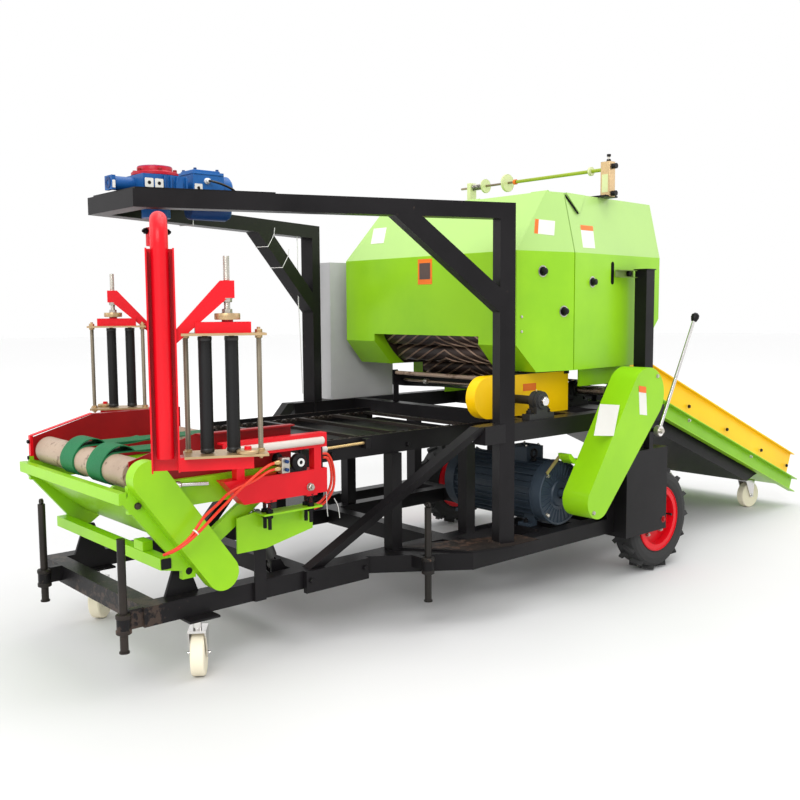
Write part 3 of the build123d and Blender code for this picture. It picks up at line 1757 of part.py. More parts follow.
def tilt_rod():
    """Piston rod with its upper eye, the pivot left open."""
    half = tilt_eye_half
    top = tilt_length()
    bar = rod((0, 0, tilt_bore_start + tilt_side_gap), (0, 0, top), tilt_rod_radius)
    eye = rod((0, -half, top), (0, half, top), tilt_eye)
    hole = rod((0, -half, top), (0, half, top), tilt_pin + tilt_play)
    return tilt_place() * ((bar + eye) - hole)


# Film beam beside the table
def film_post():
    """Flat post on the outer face of the narrow rail."""
    x = film_post_x
    far = -film_near + film_sheet
    post = block(x, x + film_post_wide, far, far + film_post_wall, rail_bottom, film_shelf)
    foot = block(x, x + film_post_wide, far, -front_half, rail_bottom, rail_top)
    return post + foot


def film_base():
    """Green sheet with its bolting shelf beside the table."""
    near = -film_near
    far = near + film_sheet
    outline = (
        (film_start, film_low),
        (film_start, film_low + film_step),
        (film_post_x, film_shelf),
        (film_end, film_shelf),
        (film_end, film_low + film_lip),
        (film_post_x + film_post_wide, film_low),
    )
    return prism_y(outline, near, far) + block(
        film_post_x, film_end, near - film_deep, near, film_shelf - film_sheet, film_shelf
    )


def film_beam():
    """Red box beam on long bolts, with a channel on stays above it."""
    far = -film_near - film_sheet
    near = far - film_wide
    outline = (
        (film_beam_start, film_beam_top),
        (film_beam_end, film_beam_top),
        (film_beam_end, film_beam_low),
        (film_beam_start + film_chamfer, film_beam_low),
    )
    pieces = [prism_y(outline, near, far)]
    top = film_rail_top
    low = top - film_rail_high
    wall = film_sheet
    x0, x1 = film_beam_start, film_beam_end
    web = near + wall
    pieces.append(block(x0, x1, near, web, low, top))
    pieces.append(block(x0, x1, near, near + film_rail_deep, low, low + wall))
    pieces.append(block(x0, x1, near, near + film_rail_deep, top - wall, top))
    for x in film_stay_x:
        pieces.append(block(x, x + film_stay, near, near + film_stay, film_beam_top, low))
    for x in film_bolt_x:
        for y in (near + film_bolt_inset, far - film_bolt_inset):
            pieces.append(rod((x, y, film_shelf), (x, y, film_beam_low), film_bolt))
    return fuse(pieces)


def machine():
    """All parts by node name, in the drafting frame."""
    parts = {"chassis": chassis(), "gantry": gantry()}
    parts["mid_frame"] = mid_frame(parts["gantry"]) - parts["chassis"]
    for side, label in ((NEAR, "near"), (FAR, "far")):
        parts["tyre_" + label] = tyre(side)
        parts["rim_" + label] = rim(side)
    for caster in casters:
        parts[caster.name + "_fork"] = caster_fork(caster)
        parts[caster.name + "_wheel"] = caster_wheel(caster)
    for jack in jacks:
        parts[jack.name] = jack_leg(jack)
    parts["bale_door"] = door()
    parts["rear_shell"] = rear_shell()
    for name in chamber_angles:
        parts["chamber_roller_" + name] = chamber_roller(name)
    parts["belt_guard"] = belt_guard()
    parts["motor"] = motor()
    parts["drive_shafts"] = drive()
    parts["chain_guard"] = chain_guard()
    parts["wheel_fender"] = fender()
    parts["clutch_lever"] = lever()
    parts["slat_frame"] = slat_rails()
    parts["slat_chain"] = slat_chain()
    parts["feed_trough"] = feed_trough()
    parts["feed_belly"] = feed_belly()
    parts["feed_boards"] = feed_boards()
    parts["feed_belt"] = feed_belt()
    parts["cabinet"] = cabinet_body()
    parts["cabinet_door"] = cabinet_leaf()
    parts["twine_tie"] = twine()
    parts["arm_gearbox"] = arm_gearbox()
    parts["wrap_arm"] = wrap_arm()
    turns = (0, 180)
    parts["film_frames"] = Compound(children=[arm_place(turn) * unit_frame() for turn in turns])
    parts["film_discs"] = Compound(children=[arm_place(turn) * unit_disc() for turn in turns])
    for turn, label in zip(turns, ("near", "far")):
        for y, place in zip(film_roller_places, ("a", "b")):
            parts["film_roller_" + label + "_" + place] = film_roller(turn, y)
    parts["table_frame"] = table_frame()
    parts["table_sides"] = table_sides()
    parts["table_roller_front"] = table_roller(table_front)
    parts["table_roller_rear"] = table_roller(table_rear)
    parts["table_belts"] = table_belts()
    parts["tilt_cylinder"] = tilt_cylinder()
    parts["tilt_rod"] = tilt_rod()
    parts["film_base"] = film_base()
    parts["film_beam"] = film_beam()
    return parts


def footprint_middle(parts):
    """Shift that brings the middle of the footprint to the origin."""
    boxes = [shape.bounding_box() for shape in parts.values()]
    x = (min(box.min.X for box in boxes) + max(box.max.X for box in boxes)) / 2
    y = (min(box.min.Y for box in boxes) + max(box.max.Y for box in boxes)) / 2
    return x, y


def main():
    parts = machine()
    x, y = footprint_middle(parts)
    print("origin in the drafting frame", round(x, 3), round(y, 3))
    os.makedirs("parts", exist_ok=True)
    for name, shape in parts.items():
        export_step(Pos(-x, -y, 0) * shape, "parts/" + name + ".step")


if __name__ == "__main__":
    main()
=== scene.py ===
"""Looks of a small silage round baler with its bale wrapper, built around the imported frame.

Pieces are drawn in millimetres in the drafting frame: X = 0 is the outer face of the front cross beam,
Y = 0 the middle of the machine and Z = 0 the ground. Finishes, lights and the camera are in metres, and
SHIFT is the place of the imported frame's origin in the drafting frame.
"""

import logging
from dataclasses import dataclass
from enum import Enum
from fnmatch import fnmatch
from functools import partial
from typing import Iterable, Sequence

import bpy
import numpy as np
from mathutils import Matrix, Vector


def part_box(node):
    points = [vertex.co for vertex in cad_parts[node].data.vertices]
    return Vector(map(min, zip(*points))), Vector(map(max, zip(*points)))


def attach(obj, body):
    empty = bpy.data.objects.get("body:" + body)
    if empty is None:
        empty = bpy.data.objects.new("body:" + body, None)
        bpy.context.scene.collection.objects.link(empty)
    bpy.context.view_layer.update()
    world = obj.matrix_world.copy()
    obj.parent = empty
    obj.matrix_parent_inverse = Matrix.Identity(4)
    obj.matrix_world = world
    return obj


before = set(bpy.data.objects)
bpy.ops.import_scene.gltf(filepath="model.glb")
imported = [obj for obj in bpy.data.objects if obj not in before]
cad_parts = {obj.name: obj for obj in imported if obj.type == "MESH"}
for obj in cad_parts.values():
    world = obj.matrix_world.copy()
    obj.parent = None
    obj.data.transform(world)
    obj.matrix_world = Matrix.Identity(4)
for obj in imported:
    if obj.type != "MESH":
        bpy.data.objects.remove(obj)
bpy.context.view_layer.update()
log = logging.getLogger("round_baler")

Array = np.ndarray
Colour = tuple[float, float, float]
Triple = Sequence[float]

AXLE_X = 2410.0
TURN = 2.0 * np.pi


class Axis(Enum):
    """Direction along which a turned piece or a bolt stands."""

    X = (1.0, 0.0, 0.0)
    Y = (0.0, 1.0, 0.0)
    Z = (0.0, 0.0, 1.0)
    NEAR = (0.0, -1.0, 0.0)
    FRONT = (-1.0, 0.0, 0.0)
    DOWN = (0.0, 0.0, -1.0)


Way = Triple | Axis
Socket = bpy.types.NodeSocket


class Coat(Enum):
    """Kind of surface, which picks the node recipe."""

    PAINT = "paint"
    METAL = "metal"
    RUBBER = "rubber"
    PLASTIC = "plastic"
    BELT = "belt"


def drafting_shift() -> Array:
    """Place of the frame's origin in the drafting frame, read off the two rims' boxes.

    The rims' middle is at AXLE_X and Y = 0 in the drafting frame.

    Returns:
        The X, Y, Z offset in metres.
    """
    corners = np.array([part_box("rim_near"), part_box("rim_far")], float)
    middle = corners.mean(axis=(0, 1))
    return np.array([AXLE_X / 1000.0 - middle[0], -middle[1], 0.0])


SHIFT = drafting_shift()


# Meshes
def grid_faces(rows: int, columns: int, wrap_rows: bool, wrap_columns: bool) -> Array:
    """Quads of a grid of rows by columns points, row after row.

    Each quad joins point (r, c) with its neighbours at r + 1 and c + 1, counted round where a way is closed.

    Args:
        rows: Number of points along the first way.
        columns: Number of points along the second way.
        wrap_rows: Whether the first way closes on itself.
        wrap_columns: Whether the second way closes on itself.

    Returns:
        Four point numbers a face.
    """
    r = np.arange(rows if wrap_rows else rows - 1)
    c = np.arange(columns if wrap_columns else columns - 1)
    r0, c0 = np.meshgrid(r, c, indexing="ij")
    r1, c1 = (r0 + 1) % rows, (c0 + 1) % columns
    quads = np.stack([r0 * columns + c0, r1 * columns + c0, r1 * columns + c1, r0 * columns + c1], axis=-1)
    return quads.reshape(-1, 4)


@dataclass
class Shell:
    """Points and faces of a mesh before it becomes an object."""

    points: Array
    faces: list[Sequence[int]]

    def joined(self, *others: "Shell") -> "Shell":
        """One shell of this and the others."""
        points, faces, base = [self.points], list(self.faces), len(self.points)
        for other in others:
            points.append(other.points)
            faces += [[index + base for index in face] for face in other.faces]
            base += len(other.points)
        return Shell(np.concatenate(points), faces)

    def placed(self, matrix: Matrix) -> "Shell":
        """The same shell moved by a 4 by 4 matrix."""
        turn = np.array(matrix)[:3, :3]
        faces = self.faces if np.linalg.det(turn) > 0 else [list(face)[::-1] for face in self.faces]
        return Shell(self.points @ turn.T + np.array(matrix)[:3, 3], faces)


def merge(shells: Iterable[Shell]) -> Shell:
    """One shell of several."""
    first, *others = list(shells)
    return first.joined(*others)


def prism(outline: Sequence[Sequence[float]], low: float, high: float, along: Axis = Axis.Z) -> Shell:
    """Straight bar of a flat outline: each outline point is carried from low to high.

    Args:
        outline: Points a, b of the outline, in X, Y for Z, in X, Z for Y, and in Y, Z for X.
        low: Start along the axis.
        high: End along the axis.
        along: Axis X, Y or Z.

    Returns:
        A closed shell.
    """
    flat = np.array(outline, float)
    area = np.sum(flat[:, 0] * np.roll(flat[:, 1], -1) - np.roll(flat[:, 0], -1) * flat[:, 1])
    order = {Axis.Z: (0, 1, 2), Axis.Y: (0, 2, 1), Axis.X: (1, 2, 0)}[along]
    count = len(flat)
    points = np.zeros((2 * count, 3))
    for row, level in enumerate(sorted((low, high))):
        span = slice(row * count, (row + 1) * count)
        points[span, order[0]], points[span, order[1]], points[span, order[2]] = (flat[:, 0], flat[:, 1],
            level)
    flip = (area > 0) == (along is not Axis.Y)
    ring = list(range(count))
    faces: list[Sequence[int]] = []
    for a in ring:
        b = (a + 1) % count
        faces.append([a, b, b + count, a + count] if flip else [a, a + count, b + count, b])
    faces.append(ring[::-1] if flip else ring)
    top = [index + count for index in ring]
    faces.append(top if flip else top[::-1])
    return Shell(points, faces)


def slab(low: Triple, high: Triple) -> Shell:
    """Box between two corners."""
    (x0, y0, z0), (x1, y1, z1) = (low, high)
    return prism(((x0, y0), (x1, y0), (x1, y1), (x0, y1)), z0, z1)


def frame_of(axis: Way) -> Array:
    """Two unit vectors square to an axis, and the axis itself.

    Args:
        axis: Any direction.

    Returns:
        Rows u, v, w, with w along the axis and u, v, w right-handed.
    """
    way = axis.value if isinstance(axis, Axis) else axis
    w = np.array(way, float) / np.linalg.norm(way)
    helper = np.array([0.0, 0.0, 1.0]) if abs(w[2]) < 0.9 else np.array([1.0, 0.0, 0.0])
    u = np.cross(helper, w)
    u /= np.linalg.norm(u)
    return np.stack([u, np.cross(w, u), w])


def circle(axis: Way, steps: int) -> tuple[Array, Array]:
    """Unit vectors round an axis, one a step, and the axis itself."""
    u, v, w = frame_of(axis)
    angle = np.arange(steps) * TURN / steps
    return np.cos(angle)[:, None] * u + np.sin(angle)[:, None] * v, w


def tube_faces(rows: int, steps: int) -> list[Sequence[int]]:
    """Faces of an open tube of rows by steps points, with a flat face at both ends."""
    faces = grid_faces(rows, steps, False, True)[:, ::-1].tolist()
    return faces + [list(range(steps))[::-1], [(rows - 1) * steps + index for index in range(steps)]]


def turned(profile: Sequence[Sequence[float]], base: Triple, axis: Way, steps: int = 32) -> Shell:
    """Surface of revolution: point (r, t) of the profile goes round the axis at height t with radius r.

    x(a, k) = base + t_k * w + r_k * (cos a * u + sin a * v).

    Args:
        profile: Radius and height pairs from one end to the other.
        base: Point of the axis at height 0.
        axis: Direction of the axis.
        steps: Number of points round.

    Returns:
        A shell with flat closed ends where the end radius is above zero.
    """
    ring, w = circle(axis, steps)
    rows = np.array(profile, float)
    points = np.array(base, float) + rows[:, 1, None, None] * w + rows[:, 0, None, None] * ring
    return Shell(points.reshape(-1, 3), tube_faces(len(rows), steps))


def ring_of(profile: Sequence[Sequence[float]], base: Triple, axis: Way, steps: int = 48) -> Shell:
    """Closed ring: a closed profile of radius and height pairs goes round the axis."""
    ring, w = circle(axis, steps)
    rows = np.array(profile, float)
    points = np.array(base, float) + rows[:, 1, None, None] * w + rows[:, 0, None, None] * ring
    area = np.sum(rows[:, 0] * np.roll(rows[:, 1], -1) - np.roll(rows[:, 0], -1) * rows[:, 1])
    faces = grid_faces(len(rows), steps, True, True)
    return Shell(points.reshape(-1, 3), (faces if area < 0 else faces[:, ::-1]).tolist())


def pipe(path: Array, radius: float | Array, steps: int = 12, closed: bool = False) -> Shell:
    """Round tube along a path: a circle of the radius stands square to the path at each point.

    The side vector is the path's direction crossed with one fixed direction that the path never follows.

    Args:
        path: Points of the path.
        radius: One radius, or one a point.
        steps: Number of points round.
        closed: Whether the path closes on itself.

    Returns:
        A shell with flat ends when the path is open.
    """
    path = np.array(path, float)
    if closed:
        way = np.roll(path, -1, axis=0) - np.roll(path, 1, axis=0)
    else:
        way = np.gradient(path, axis=0)
    way /= np.linalg.norm(way, axis=1)[:, None]
    spread = np.abs(way).max(axis=0)
    fixed = np.eye(3)[int(np.argmin(spread))]
    side = np.cross(way, fixed)
    side /= np.linalg.norm(side, axis=1)[:, None]
    up = np.cross(way, side)
    angle = np.arange(steps) * TURN / steps
    size = np.broadcast_to(np.asarray(radius, float), (len(path),))
    ring = np.cos(angle)[None, :, None] * side[:, None, :] + np.sin(angle)[None, :, None] * up[:, None, :]
    points = path[:, None, :] + size[:, None, None] * ring
    if closed:
        return Shell(points.reshape(-1, 3), grid_faces(len(path), steps, True, True)[:, ::-1].tolist())
    return Shell(points.reshape(-1, 3), tube_faces(len(path), steps))


def round_bar(start: Triple, end: Triple, radius: float, chamfer: float = 0.0, steps: int = 24) -> Shell:
    """Straight round bar with a small chamfer at both ends."""
    start, end = np.array(start, float), np.array(end, float)
    length = float(np.linalg.norm(end - start))
    edge = min(chamfer, radius / 2, length / 3)
    rows = [(radius - edge, 0.0), (radius, edge), (radius, length - edge), (radius - edge, length)]
    return turned(rows if edge else [(radius, 0.0), (radius, length)], start, end - start, steps)


def threaded(start: Triple, end: Triple, radius: float, pitch: float, depth: float) -> Shell:
    """Threaded bar: the radius swings by depth once a pitch, with the turn angle leading along the bar.

    r(a, t) = radius - depth * (0.5 - 0.5 * cos(2 pi t / pitch - a)).

    Args:
        start: Centre of one end.
        end: Centre of the other end.
        radius: Outer radius.
        pitch: Height of one turn.
        depth: Depth of the groove.

    Returns:
        A closed shell.
    """
    start, end = np.array(start, float), np.array(end, float)
    steps = 14
    ring, w = circle(end - start, steps)
    length = float(np.linalg.norm(end - start))
    height = np.linspace(0.0, length, max(int(np.ceil(length / pitch * 4)) - 1, 8))
    angle = np.arange(steps) * TURN / steps
    wave = 0.5 - 0.5 * np.cos(TURN * height[:, None] / pitch - angle[None, :])
    size = radius - depth * wave
    points = start + height[:, None, None] * w + size[:, :, None] * ring[None]
    return Shell(points.reshape(-1, 3), tube_faces(len(height), steps))


def hex_head(base: Triple, axis: Way, across: float, height: float, shank: float = 0.0) -> Shell:
    """Hexagon nut or bolt head with a washer under it and a round end above."""
    half = across / 2.0
    washer = turned([(half * 1.25, 0.0), (half * 1.25, height * 0.18)], base, axis, 16)
    start = np.array(base, float) + frame_of(axis)[2] * height * 0.18
    body = turned([(half * 1.155, 0.0), (half * 1.155, height * 0.86), (half * 0.98, height)], start, axis, 6)
    if shank:
        tip = turned([(half * 0.55, 0.0), (half * 0.55, height + shank)], start, axis, 12)
        return merge([washer, body, tip])
    return merge([washer, body])


def rounded(lengths: Sequence[float], radius: float, corner: int = 4) -> Array:
    """Outline of a rectangle about the origin with round corners, anticlockwise.

    Args:
        lengths: Width and height.
        radius: Corner radius.
        corner: Points a corner, less one.

    Returns:
        The outline's points.
    """
    a, b = lengths[0] / 2 - radius, lengths[1] / 2 - radius
    centres = np.array([(a, b), (-a, b), (-a, -b), (a, -b)])
    step = np.linspace(0.0, np.pi / 2, corner + 1)
    arcs = [centre + radius * np.stack([np.cos(step + k * np.pi / 2), np.sin(step + k * np.pi / 2)], 1) for k,
        centre in enumerate(centres)]
    return np.concatenate(arcs)


# Objects
def drafted(shell: Shell) -> Shell:
    """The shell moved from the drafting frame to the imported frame."""
    return Shell(shell.points / 1000.0 - SHIFT, shell.faces)


def obj_of(name: str, shell: Shell, smooth: float = 35.0) -> bpy.types.Object:
    """Object of a drafted shell at the origin, linked to the scene.

    Args:
        name: Name of the piece.
        shell: Points and faces in the drafting frame.
        smooth: Largest angle in degrees between faces that shade as one, or 0 for flat faces.

    Returns:
        The new object.
    """
    placed = drafted(shell)
    mesh = bpy.data.meshes.new(name)
    mesh.from_pydata(placed.points.tolist(), [], placed.faces)
    mesh.validate()
    piece = bpy.data.objects.new(name, mesh)
    bpy.context.scene.collection.objects.link(piece)
    if smooth:
        mesh.polygons.foreach_set("use_smooth", np.ones(len(mesh.polygons), bool))
        with bpy.context.temp_override(object=piece, active_object=piece, selected_editable_objects=[piece]):
            mesh.set_sharp_from_angle(angle=np.radians(smooth))
    return piece


@dataclass
class Shop:
    """Makes pieces and counts them."""

    made: int = 0

    def put(self, name: str, finish: "Finish", *shells: Shell, body: str = "frame", bevel: float = 0.0,
            smooth: float = 35.0) -> bpy.types.Object:
        """Adds one piece to the scene and hands it its body and finish.

        Args:
            name: Name of the piece.
            finish: Finish of its surface.
            shells: Its parts, with points in the drafting frame.
            body: Frame body that the piece rides on.
            bevel: Width of rounded edges, or 0.
            smooth: Largest angle that shades smooth.

        Returns:
            The new object.
        """
        piece = obj_of(name, merge(shells), smooth)
        piece.data.materials.append(finish.material())
        if bevel:
            modifier = piece.modifiers.new("edges", "BEVEL")
            modifier.width, modifier.segments, modifier.limit_method = bevel / 1000.0, 2, "ANGLE"
            modifier.angle_limit = np.radians(40.0)
            modifier.harden_normals = False
        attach(piece, body)
        self.made += 1
        log.info("%s on %s: %d faces", name, body, len(piece.data.polygons))
        return piece


SHOP = Shop()
put = SHOP.put


# Finishes
@dataclass(frozen=True)
class Finish:
    """Surface finish with wear, variation and bump, all on Object coordinates.

    Attributes:
        name: Material name.
        slot: The record's material slot, not used.
        base: Main colour, linear.
        low: Darker tone of the main colour.
        coat: Kind of surface.
        rough: Mean roughness.
        metal: Metallic value.
        grain: Scale of the fine noise, in cycles a metre.
        bump: Height of the fine bump in metres.
        chip: Share of the surface with chips, 0 for none.
        chip_colour: Colour that shows in the chips.
        dust: Strength of the dust that gathers near the ground.
        varnish: Clear coat weight.
        shine: Level of the plain reflection.
        worn_front: Extra chipping on the front beam.
        roof_sheen_chamber_shade: Whether a painted sky sheen lightens the roof and painted shade darkens the
            inside of the bale chamber.
    """

    name: str
    slot: str
    base: Colour
    low: Colour
    coat: Coat = Coat.PAINT
    rough: float = 0.4
    metal: float = 0.0
    grain: float = 180.0
    bump: float = 0.0004
    chip: float = 0.0
    chip_colour: Colour = (0.16, 0.12, 0.09)
    dust: float = 0.0
    varnish: float = 0.0
    shine: float = 0.5
    worn_front: float = 0.0
    roof_sheen_chamber_shade: bool = False

    def material(self) -> bpy.types.Material:
        """The one material of this finish."""
        found = bpy.data.materials.get(self.name)
        return found if found else self.build()

    def build(self) -> bpy.types.Material:
        """Builds the node tree.

        Broad noise mixes the two tones, thresholded finer noise lays bare the chips, noise that fades with
        height lays dust, and fine noise drives roughness and bump.

        Returns:
            The new material.
        """
        made = bpy.data.materials.new(self.name)
        made.use_nodes = True
        tree = Nodes(made.node_tree)
        place = tree.add("ShaderNodeTexCoord").outputs["Object"]
        broad = tree.noise(place, 2.6, 5.0, 0.6)
        tone = tree.ramp(broad, ((0.36, self.low), (0.62, self.base)))
        colour = tone
        if self.chip:
            specks = tree.noise(place, 34.0, 9.0, 0.72)
            patch = tree.noise(place, 5.5, 3.0, 0.5)
            both = tree.math("ADD", tree.math("MULTIPLY", specks, 0.62), tree.math("MULTIPLY", patch, 0.38))
            if self.worn_front:
                ahead = tree.span(tree.split(place, "X"), -1.99, -2.03, 0.0, self.worn_front)
                both = tree.math("ADD", both, ahead)
            edge = 0.655 - 0.17 * self.chip
            mask = tree.ramp(both, ((edge, (0.0, 0.0, 0.0)), (edge + 0.035, (1.0, 1.0, 1.0))))
            colour = tree.blend(colour, self.chip_colour, mask)
        if self.roof_sheen_chamber_shade:
            # Painted sky sheen: lime faces above 1.437 m are lightened towards pale green.
            pale = tree.span(tree.split(place, "Z"), 1.4365, 1.4385, 0.0, 0.55)
            colour = tree.blend(colour, (0.42, 0.55, 0.27), pale)
            # Painted shade: the inside of the bale chamber is darkened to near black.
            colour = tree.blend(colour, (0.035, 0.024, 0.018), self.chamber(tree, place))
        if self.dust:
            height = tree.split(place, "Z")
            near = tree.span(height, 0.0, 1.1, self.dust, 0.0)
            cloud = tree.noise(place, 7.0, 6.0, 0.65)
            colour = tree.blend(colour, (0.3, 0.27, 0.22), tree.math("MULTIPLY", near, cloud))
        shader = tree.add("ShaderNodeBsdfPrincipled")
        tree.join(colour, shader.inputs["Base Color"])
        fine = tree.noise(place, self.grain, 4.0, 0.55)
        spread = 0.12 if self.coat is Coat.PAINT else 0.2
        tree.join(tree.span(fine, 0.25, 0.75, self.rough - spread / 2, self.rough + spread / 2),
            shader.inputs["Roughness"])
        shader.inputs["Metallic"].default_value = self.metal
        shader.inputs["Specular IOR Level"].default_value = self.shine
        if self.varnish:
            shader.inputs["Coat Weight"].default_value = self.varnish
            shader.inputs["Coat Roughness"].default_value = 0.18
        tree.bump(self.relief(tree, place, fine), self.bump, shader)
        tree.join(shader.outputs["BSDF"], tree.add("ShaderNodeOutputMaterial").inputs["Surface"])
        return made

    def chamber(self, tree: "Nodes", place: Socket) -> Socket:
        """Mask of the painted shade inside the bale chamber: 1 within 0.388 m of its axis and 0.36 m of the
        middle.

        Args:
            tree: The material's nodes.
            place: Object coordinates.

        Returns:
            The mask socket.
        """
        across = tree.math("SUBTRACT", tree.split(place, "X"), float(1.985 - SHIFT[0]))
        level = tree.math("SUBTRACT", tree.split(place, "Z"), 1.27)
        square = tree.math("ADD", tree.math("MULTIPLY", across, across), tree.math("MULTIPLY", level, level))
        middle = tree.math("ABSOLUTE", tree.math("ADD", tree.split(place, "Y"), float(SHIFT[1])), 0.0)
        return tree.math("MULTIPLY", tree.span(square, 0.388 ** 2, 0.392 ** 2, 1.0, 0.0),
            tree.span(middle, 0.362, 0.365, 1.0, 0.0))

    def relief(self, tree: "Nodes", place: Socket,
        fine: Socket) -> Socket:
        """Height pattern of the surface: orange peel on paint, grain on the rest.

        Args:
            tree: The material's nodes.
            place: Object coordinates.
            fine: Fine noise.

        Returns:
            The height socket.
        """
        if self.coat is Coat.PAINT:
            peel = tree.noise(place, self.grain * 1.8, 2.0, 0.4)
            return tree.math("ADD", tree.math("MULTIPLY", fine, 0.35), tree.math("MULTIPLY", peel, 0.65))
        if self.coat is Coat.BELT:
            weave = tree.add("ShaderNodeTexVoronoi")
            weave.inputs["Scale"].default_value = 240.0
            tree.join(place, weave.inputs["Vector"])
            return tree.math("ADD", weave.outputs["Distance"], fine)
        return fine


@dataclass
class Nodes:
    """Short ways to add shader nodes to one tree."""

    tree: bpy.types.NodeTree

    def __post_init__(self) -> None:
        """Starts from an empty tree."""
        self.tree.nodes.clear()

    def add(self, kind: str) -> bpy.types.Node:
        """A new node of a kind."""
        return self.tree.nodes.new(kind)

    def join(self, start: Socket, end: Socket) -> None:
        """Links two sockets."""
        self.tree.links.new(start, end)

    def feed(self, value: object, socket: Socket) -> None:
        """Sets a socket to a number or colour, or links it to another socket."""
        if isinstance(value, Socket):
            self.join(value, socket)
        elif isinstance(value, tuple):
            socket.default_value = (*value, 1.0)
        else:
            socket.default_value = value

    def noise(self, place: Socket, scale: float, detail: float,
        rough: float) -> Socket:
        """Fractal noise between 0 and 1."""
        node = self.add("ShaderNodeTexNoise")
        self.join(place, node.inputs["Vector"])
        node.inputs["Scale"].default_value = scale
        node.inputs["Detail"].default_value = detail
        node.inputs["Roughness"].default_value = rough
        return node.outputs["Fac"]

    def ramp(self, value: Socket, stops: Sequence[tuple[float,
        Colour]]) -> Socket:
        """Colours along a value."""
        node = self.add("ShaderNodeValToRGB")
        self.join(value, node.inputs["Fac"])
        first, second = node.color_ramp.elements
        for element, (place, colour) in zip((first, second), stops):
            element.position, element.color = (place, (*colour, 1.0))
        for place, colour in stops[2:]:
            node.color_ramp.elements.new(place).color = (*colour, 1.0)
        return node.outputs["Color"]

    def math(self, kind: str, a: object, b: object) -> Socket:
        """One sum, product or other operation of two values."""
        node = self.add("ShaderNodeMath")
        node.operation = kind
        self.feed(a, node.inputs[0])
        self.feed(b, node.inputs[1])
        return node.outputs[0]

    def span(self, value: Socket, a: float, b: float, low: float,
        high: float) -> Socket:
        """Maps a to low and b to high, clamped."""
        node = self.add("ShaderNodeMapRange")
        self.join(value, node.inputs["Value"])
        for name, number in (("From Min", a), ("From Max", b), ("To Min", low), ("To Max", high)):
            node.inputs[name].default_value = number
        return node.outputs["Result"]

    def blend(self, a: object, b: object, share: object) -> Socket:
        """Mix of two colours."""
        node = self.add("ShaderNodeMix")
        node.data_type = "RGBA"
        self.feed(share, node.inputs["Factor"])
        self.feed(a, node.inputs["A"] if node.inputs["A"].type == "RGBA" else node.inputs[6])
        self.feed(b, node.inputs["B"] if node.inputs["B"].type == "RGBA" else node.inputs[7])
        return node.outputs[2]

    def split(self, vector: Socket, part: str) -> Socket:
        """One coordinate of a vector."""
        node = self.add("ShaderNodeSeparateXYZ")
        self.join(vector, node.inputs[0])
        return node.outputs[part]

    def bump(self, height: Socket, distance: float, shader: bpy.types.Node) -> None:
        """Bends the shader's normal by a height pattern."""
        node = self.add("ShaderNodeBump")
        node.inputs["Strength"].default_value = 0.55
        node.inputs["Distance"].default_value = distance
        self.join(height, node.inputs["Height"])
        self.join(node.outputs["Normal"], shader.inputs["Normal"])


metal = partial(Finish, coat=Coat.METAL)
rubber = partial(Finish, coat=Coat.RUBBER)
plastic = partial(Finish, coat=Coat.PLASTIC)
belt = partial(Finish, coat=Coat.BELT)


